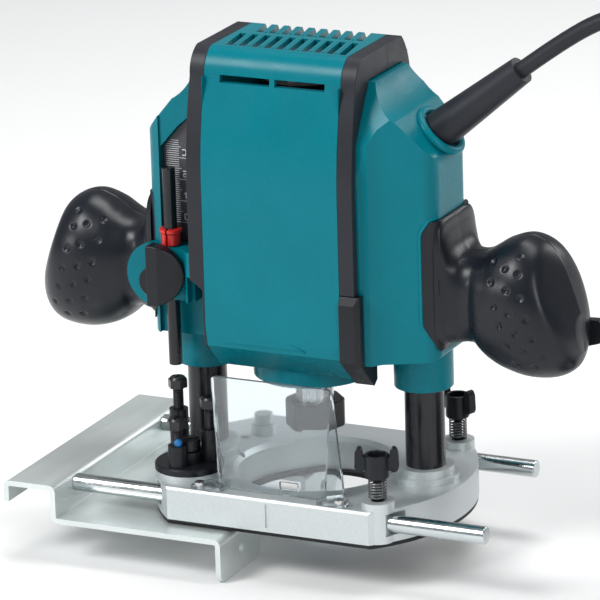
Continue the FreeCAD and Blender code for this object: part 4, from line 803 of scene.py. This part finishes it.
def make_knob(side, way):
    """Half of a ball handle: neck, dimpled ball with a pressed outer face, rounded parting edge."""
    rings = knob_surface()
    normal, level = FACETS[way]
    if side < 0:
        level += LEFT_FACET_RELIEF
    for ring in rings:
        for point in ring:
            press_facet(point, normal, level)
    press_dimples([point for ring in rings for point in ring])
    bm = bmesh.new()
    grid = [[bm.verts.new(Vector((side * p.x, way * p.y, p.z)) * MM) for p in ring] for ring in rings]
    for low, high in zip(grid, grid[1:]):
        for step in range(KNOB_STEPS):
            bm.faces.new((low[step], low[step + 1], high[step + 1], high[step]))
    for ring in (grid[0], grid[-1]):
        bm.faces.new(ring)
    bmesh.ops.recalc_face_normals(bm, faces=bm.faces)
    name = ("left" if side < 0 else "right") + ("_front" if way < 0 else "_rear")
    knob = new_piece("knob_" + name, bm, "motor", KNOB, smooth=60.0)
    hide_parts("handle_" + name)
    rounded_copy("handle_" + name, 0.5, "motor", on_neck_plate, "neck_plate_" + name)


for side in (-1, 1):
    for way in (-1, 1):
        make_knob(side, way)


# ---------------------------------------------------------------- cord, coil and plug, in millimetres
CORD_RADIUS = 3.75
# distances along the cord guard where the cord starts and where it comes out
CORD_START = 36.0
# the cord's points from the guard to the coil
LEAD = (
    (119.3, 0.0, 222.5), (148.0, -1.0, 240.0), (182.0, -4.0, 243.5), (209.0, -9.0, 223.0),
    (222.0, -15.0, 188.0), (226.5, -22.0, 148.0), (229.0, -29.0, 104.0), (229.5, -31.0, 62.0),
    (229.0, -22.0, 27.0), (228.6, 3.0, 6.2), (228.5, 32.0, 5.25),
)
COIL_CENTRE = Vector((186.0, 40.0))
# radii of a layer's outer and inner turn
COIL_RADII = (42.5, 35.0)
COIL_LAYERS = 4
COIL_TURNS = 2 * COIL_LAYERS
COIL_STEPS = 14
COIL_START = -4
# share of a turn that is spent on crossing to the next one
CROSSING = 0.28
PLUG_REAR = 74.0


def coil_place(turn):
    """Radius and layer, from the top, of a whole turn; each second layer runs from the inside out."""
    layer, place = divmod(min(turn, COIL_TURNS - 1), 2)
    return COIL_RADII[place if layer % 2 == 0 else 1 - place], layer


def coil_points():
    """Turns from the top outer one down: each layer has an outer and an inner turn."""
    points = []
    for step in range(COIL_TURNS * COIL_STEPS + 1):
        turn = step / COIL_STEPS
        whole = min(int(turn), COIL_TURNS - 1)
        (radius, layer), (next_radius, next_layer) = coil_place(whole), coil_place(whole + 1)
        blend = min(1.0, max(0.0, (turn - whole - 1 + CROSSING) / CROSSING)) if turn < COIL_TURNS - 1 else 0.0
        radius += (next_radius - radius) * blend
        level = COIL_LAYERS - 1 - layer - (next_layer - layer) * blend
        angle = math.radians(COIL_START) + 2 * math.pi * turn
        points.append((COIL_CENTRE.x + radius * math.cos(angle), COIL_CENTRE.y + radius * math.sin(angle),
                       FLOOR / MM + CORD_RADIUS * (1 + 2 * level)))
    return points


def make_cord():
    """The mains cord: from inside its guard, over to the coil, down through it and out to the plug."""
    route = [GUARD_ROOT + GUARD_WAY * CORD_START, *LEAD, *coil_points()[1:]]
    tail_x = COIL_CENTRE.x + COIL_RADII[0]
    route += [(tail_x, y, FLOOR / MM + CORD_RADIUS) for y in ((COIL_CENTRE.y + PLUG_REAR) / 2, PLUG_REAR)]
    curve = bpy.data.curves.new("cord", "CURVE")
    curve.dimensions = "3D"
    spline = curve.splines.new("NURBS")
    spline.points.add(len(route) - 1)
    for point, place in zip(spline.points, route):
        point.co = (*Vector(place) * MM, 1.0)
    spline.order_u = 3
    spline.use_endpoint_u = True
    spline.resolution_u = 8
    curve.bevel_depth = CORD_RADIUS * MM
    curve.bevel_resolution = 5
    curve.use_fill_caps = True
    curve.materials.append(SHEATH)
    cord = bpy.data.objects.new("mains_cord", curve)
    bpy.context.scene.collection.objects.link(cord)
    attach(cord, "motor")
    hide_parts("cord", "cord_coil")
    return cord


cord = make_cord()
plug = rounded_copy("plug_body", 1.2, "motor")
tie = rounded_copy("cord_tie", 0.4, "motor")


# ---------------------------------------------------------------- stage, light and camera
# half width of the floor, and how far it lies under the object, in metres
FLOOR_REACH = 6.0
FLOOR_GAP = 0.0002


def make_stage():
    """A plain pale floor."""
    bm = bmesh.new()
    bmesh.ops.create_grid(bm, x_segments=2, y_segments=2, size=FLOOR_REACH)
    mesh = bpy.data.meshes.new("floor")
    bm.to_mesh(mesh)
    bm.free()
    floor = bpy.data.objects.new("floor", mesh)
    floor.location.z = FLOOR - FLOOR_GAP
    bpy.context.scene.collection.objects.link(floor)
    look = Look("studio_floor", (0.86, 0.86, 0.86), 0.75)
    look.roughen(look.noise(4), 0.7, 0.8)
    paint(floor, look.material)


# name, place, width and height in metres, power in watts
LIGHTS = (
    ("key", (-0.8, -1.2, 1.4), (0.7, 0.7), 27),
    ("strip", (-1.2, -1.3, 0.45), (0.5, 0.2), 4),
    ("fill", (1.5, -1.0, 0.7), (0.4, 1.0), 9),
    ("top", (0.1, 0.3, 1.6), (1.2, 0.6), 16),
    ("rim", (0.9, 1.3, 0.8), (0.6, 1.0), 9),
)
LIT_POINT = Vector((0.0, 0.0, 0.1))
SKY_COLOUR = (0.93, 0.95, 0.97, 1.0)
SKY_STRENGTH = 0.3


def area_light(name, place, size, power):
    """A soft rectangular light turned towards the object."""
    light = bpy.data.lights.new(name, "AREA")
    light.shape = "RECTANGLE"
    light.size, light.size_y = size
    light.energy = power
    lamp = bpy.data.objects.new(name, light)
    bpy.context.scene.collection.objects.link(lamp)
    lamp.location = place
    lamp.rotation_euler = (LIT_POINT - Vector(place)).to_track_quat("-Z", "Y").to_euler()


def make_world():
    """Pale, even light from all round."""
    world = bpy.data.worlds.new("studio")
    world.use_nodes = True
    background = world.node_tree.nodes["Background"]
    background.inputs["Color"].default_value = SKY_COLOUR
    background.inputs["Strength"].default_value = SKY_STRENGTH
    bpy.context.scene.world = world


# degrees, millimetres from the object's origin, and millimetres of lens on a full frame
CAMERA_TURN = 25.903
CAMERA_RISE = 17.410
CAMERA_ROLL = -1.820
CAMERA_PLACE = Vector((943.4, -1955.3, 775.7))
CAMERA_LENS = 303.4


def make_camera():
    """Camera that looks at the object from the right, a little from above, with a slight roll."""
    azimuth, elevation, roll = (math.radians(angle) for angle in (CAMERA_TURN, CAMERA_RISE, CAMERA_ROLL))
    forward = Vector((-math.sin(azimuth) * math.cos(elevation), math.cos(azimuth) * math.cos(elevation),
                      -math.sin(elevation)))
    right = Vector((math.cos(azimuth), math.sin(azimuth), 0))
    up = right.cross(forward)
    turned_right = math.cos(roll) * right + math.sin(roll) * up
    turned_up = -math.sin(roll) * right + math.cos(roll) * up
    camera = bpy.data.cameras.new("camera")
    camera.sensor_width = 36.0
    camera.lens = CAMERA_LENS
    camera.clip_end = 20.0
    view = bpy.data.objects.new("camera", camera)
    view.matrix_world = Matrix((turned_right, turned_up, -forward)).transposed().to_4x4()
    view.matrix_world.translation = CAMERA_PLACE * MM
    bpy.context.scene.collection.objects.link(view)
    bpy.context.scene.camera = view


make_stage()
make_camera()
make_world()
for light in LIGHTS:
    area_light(*light)
bpy.context.scene.view_settings.view_transform = "Standard"
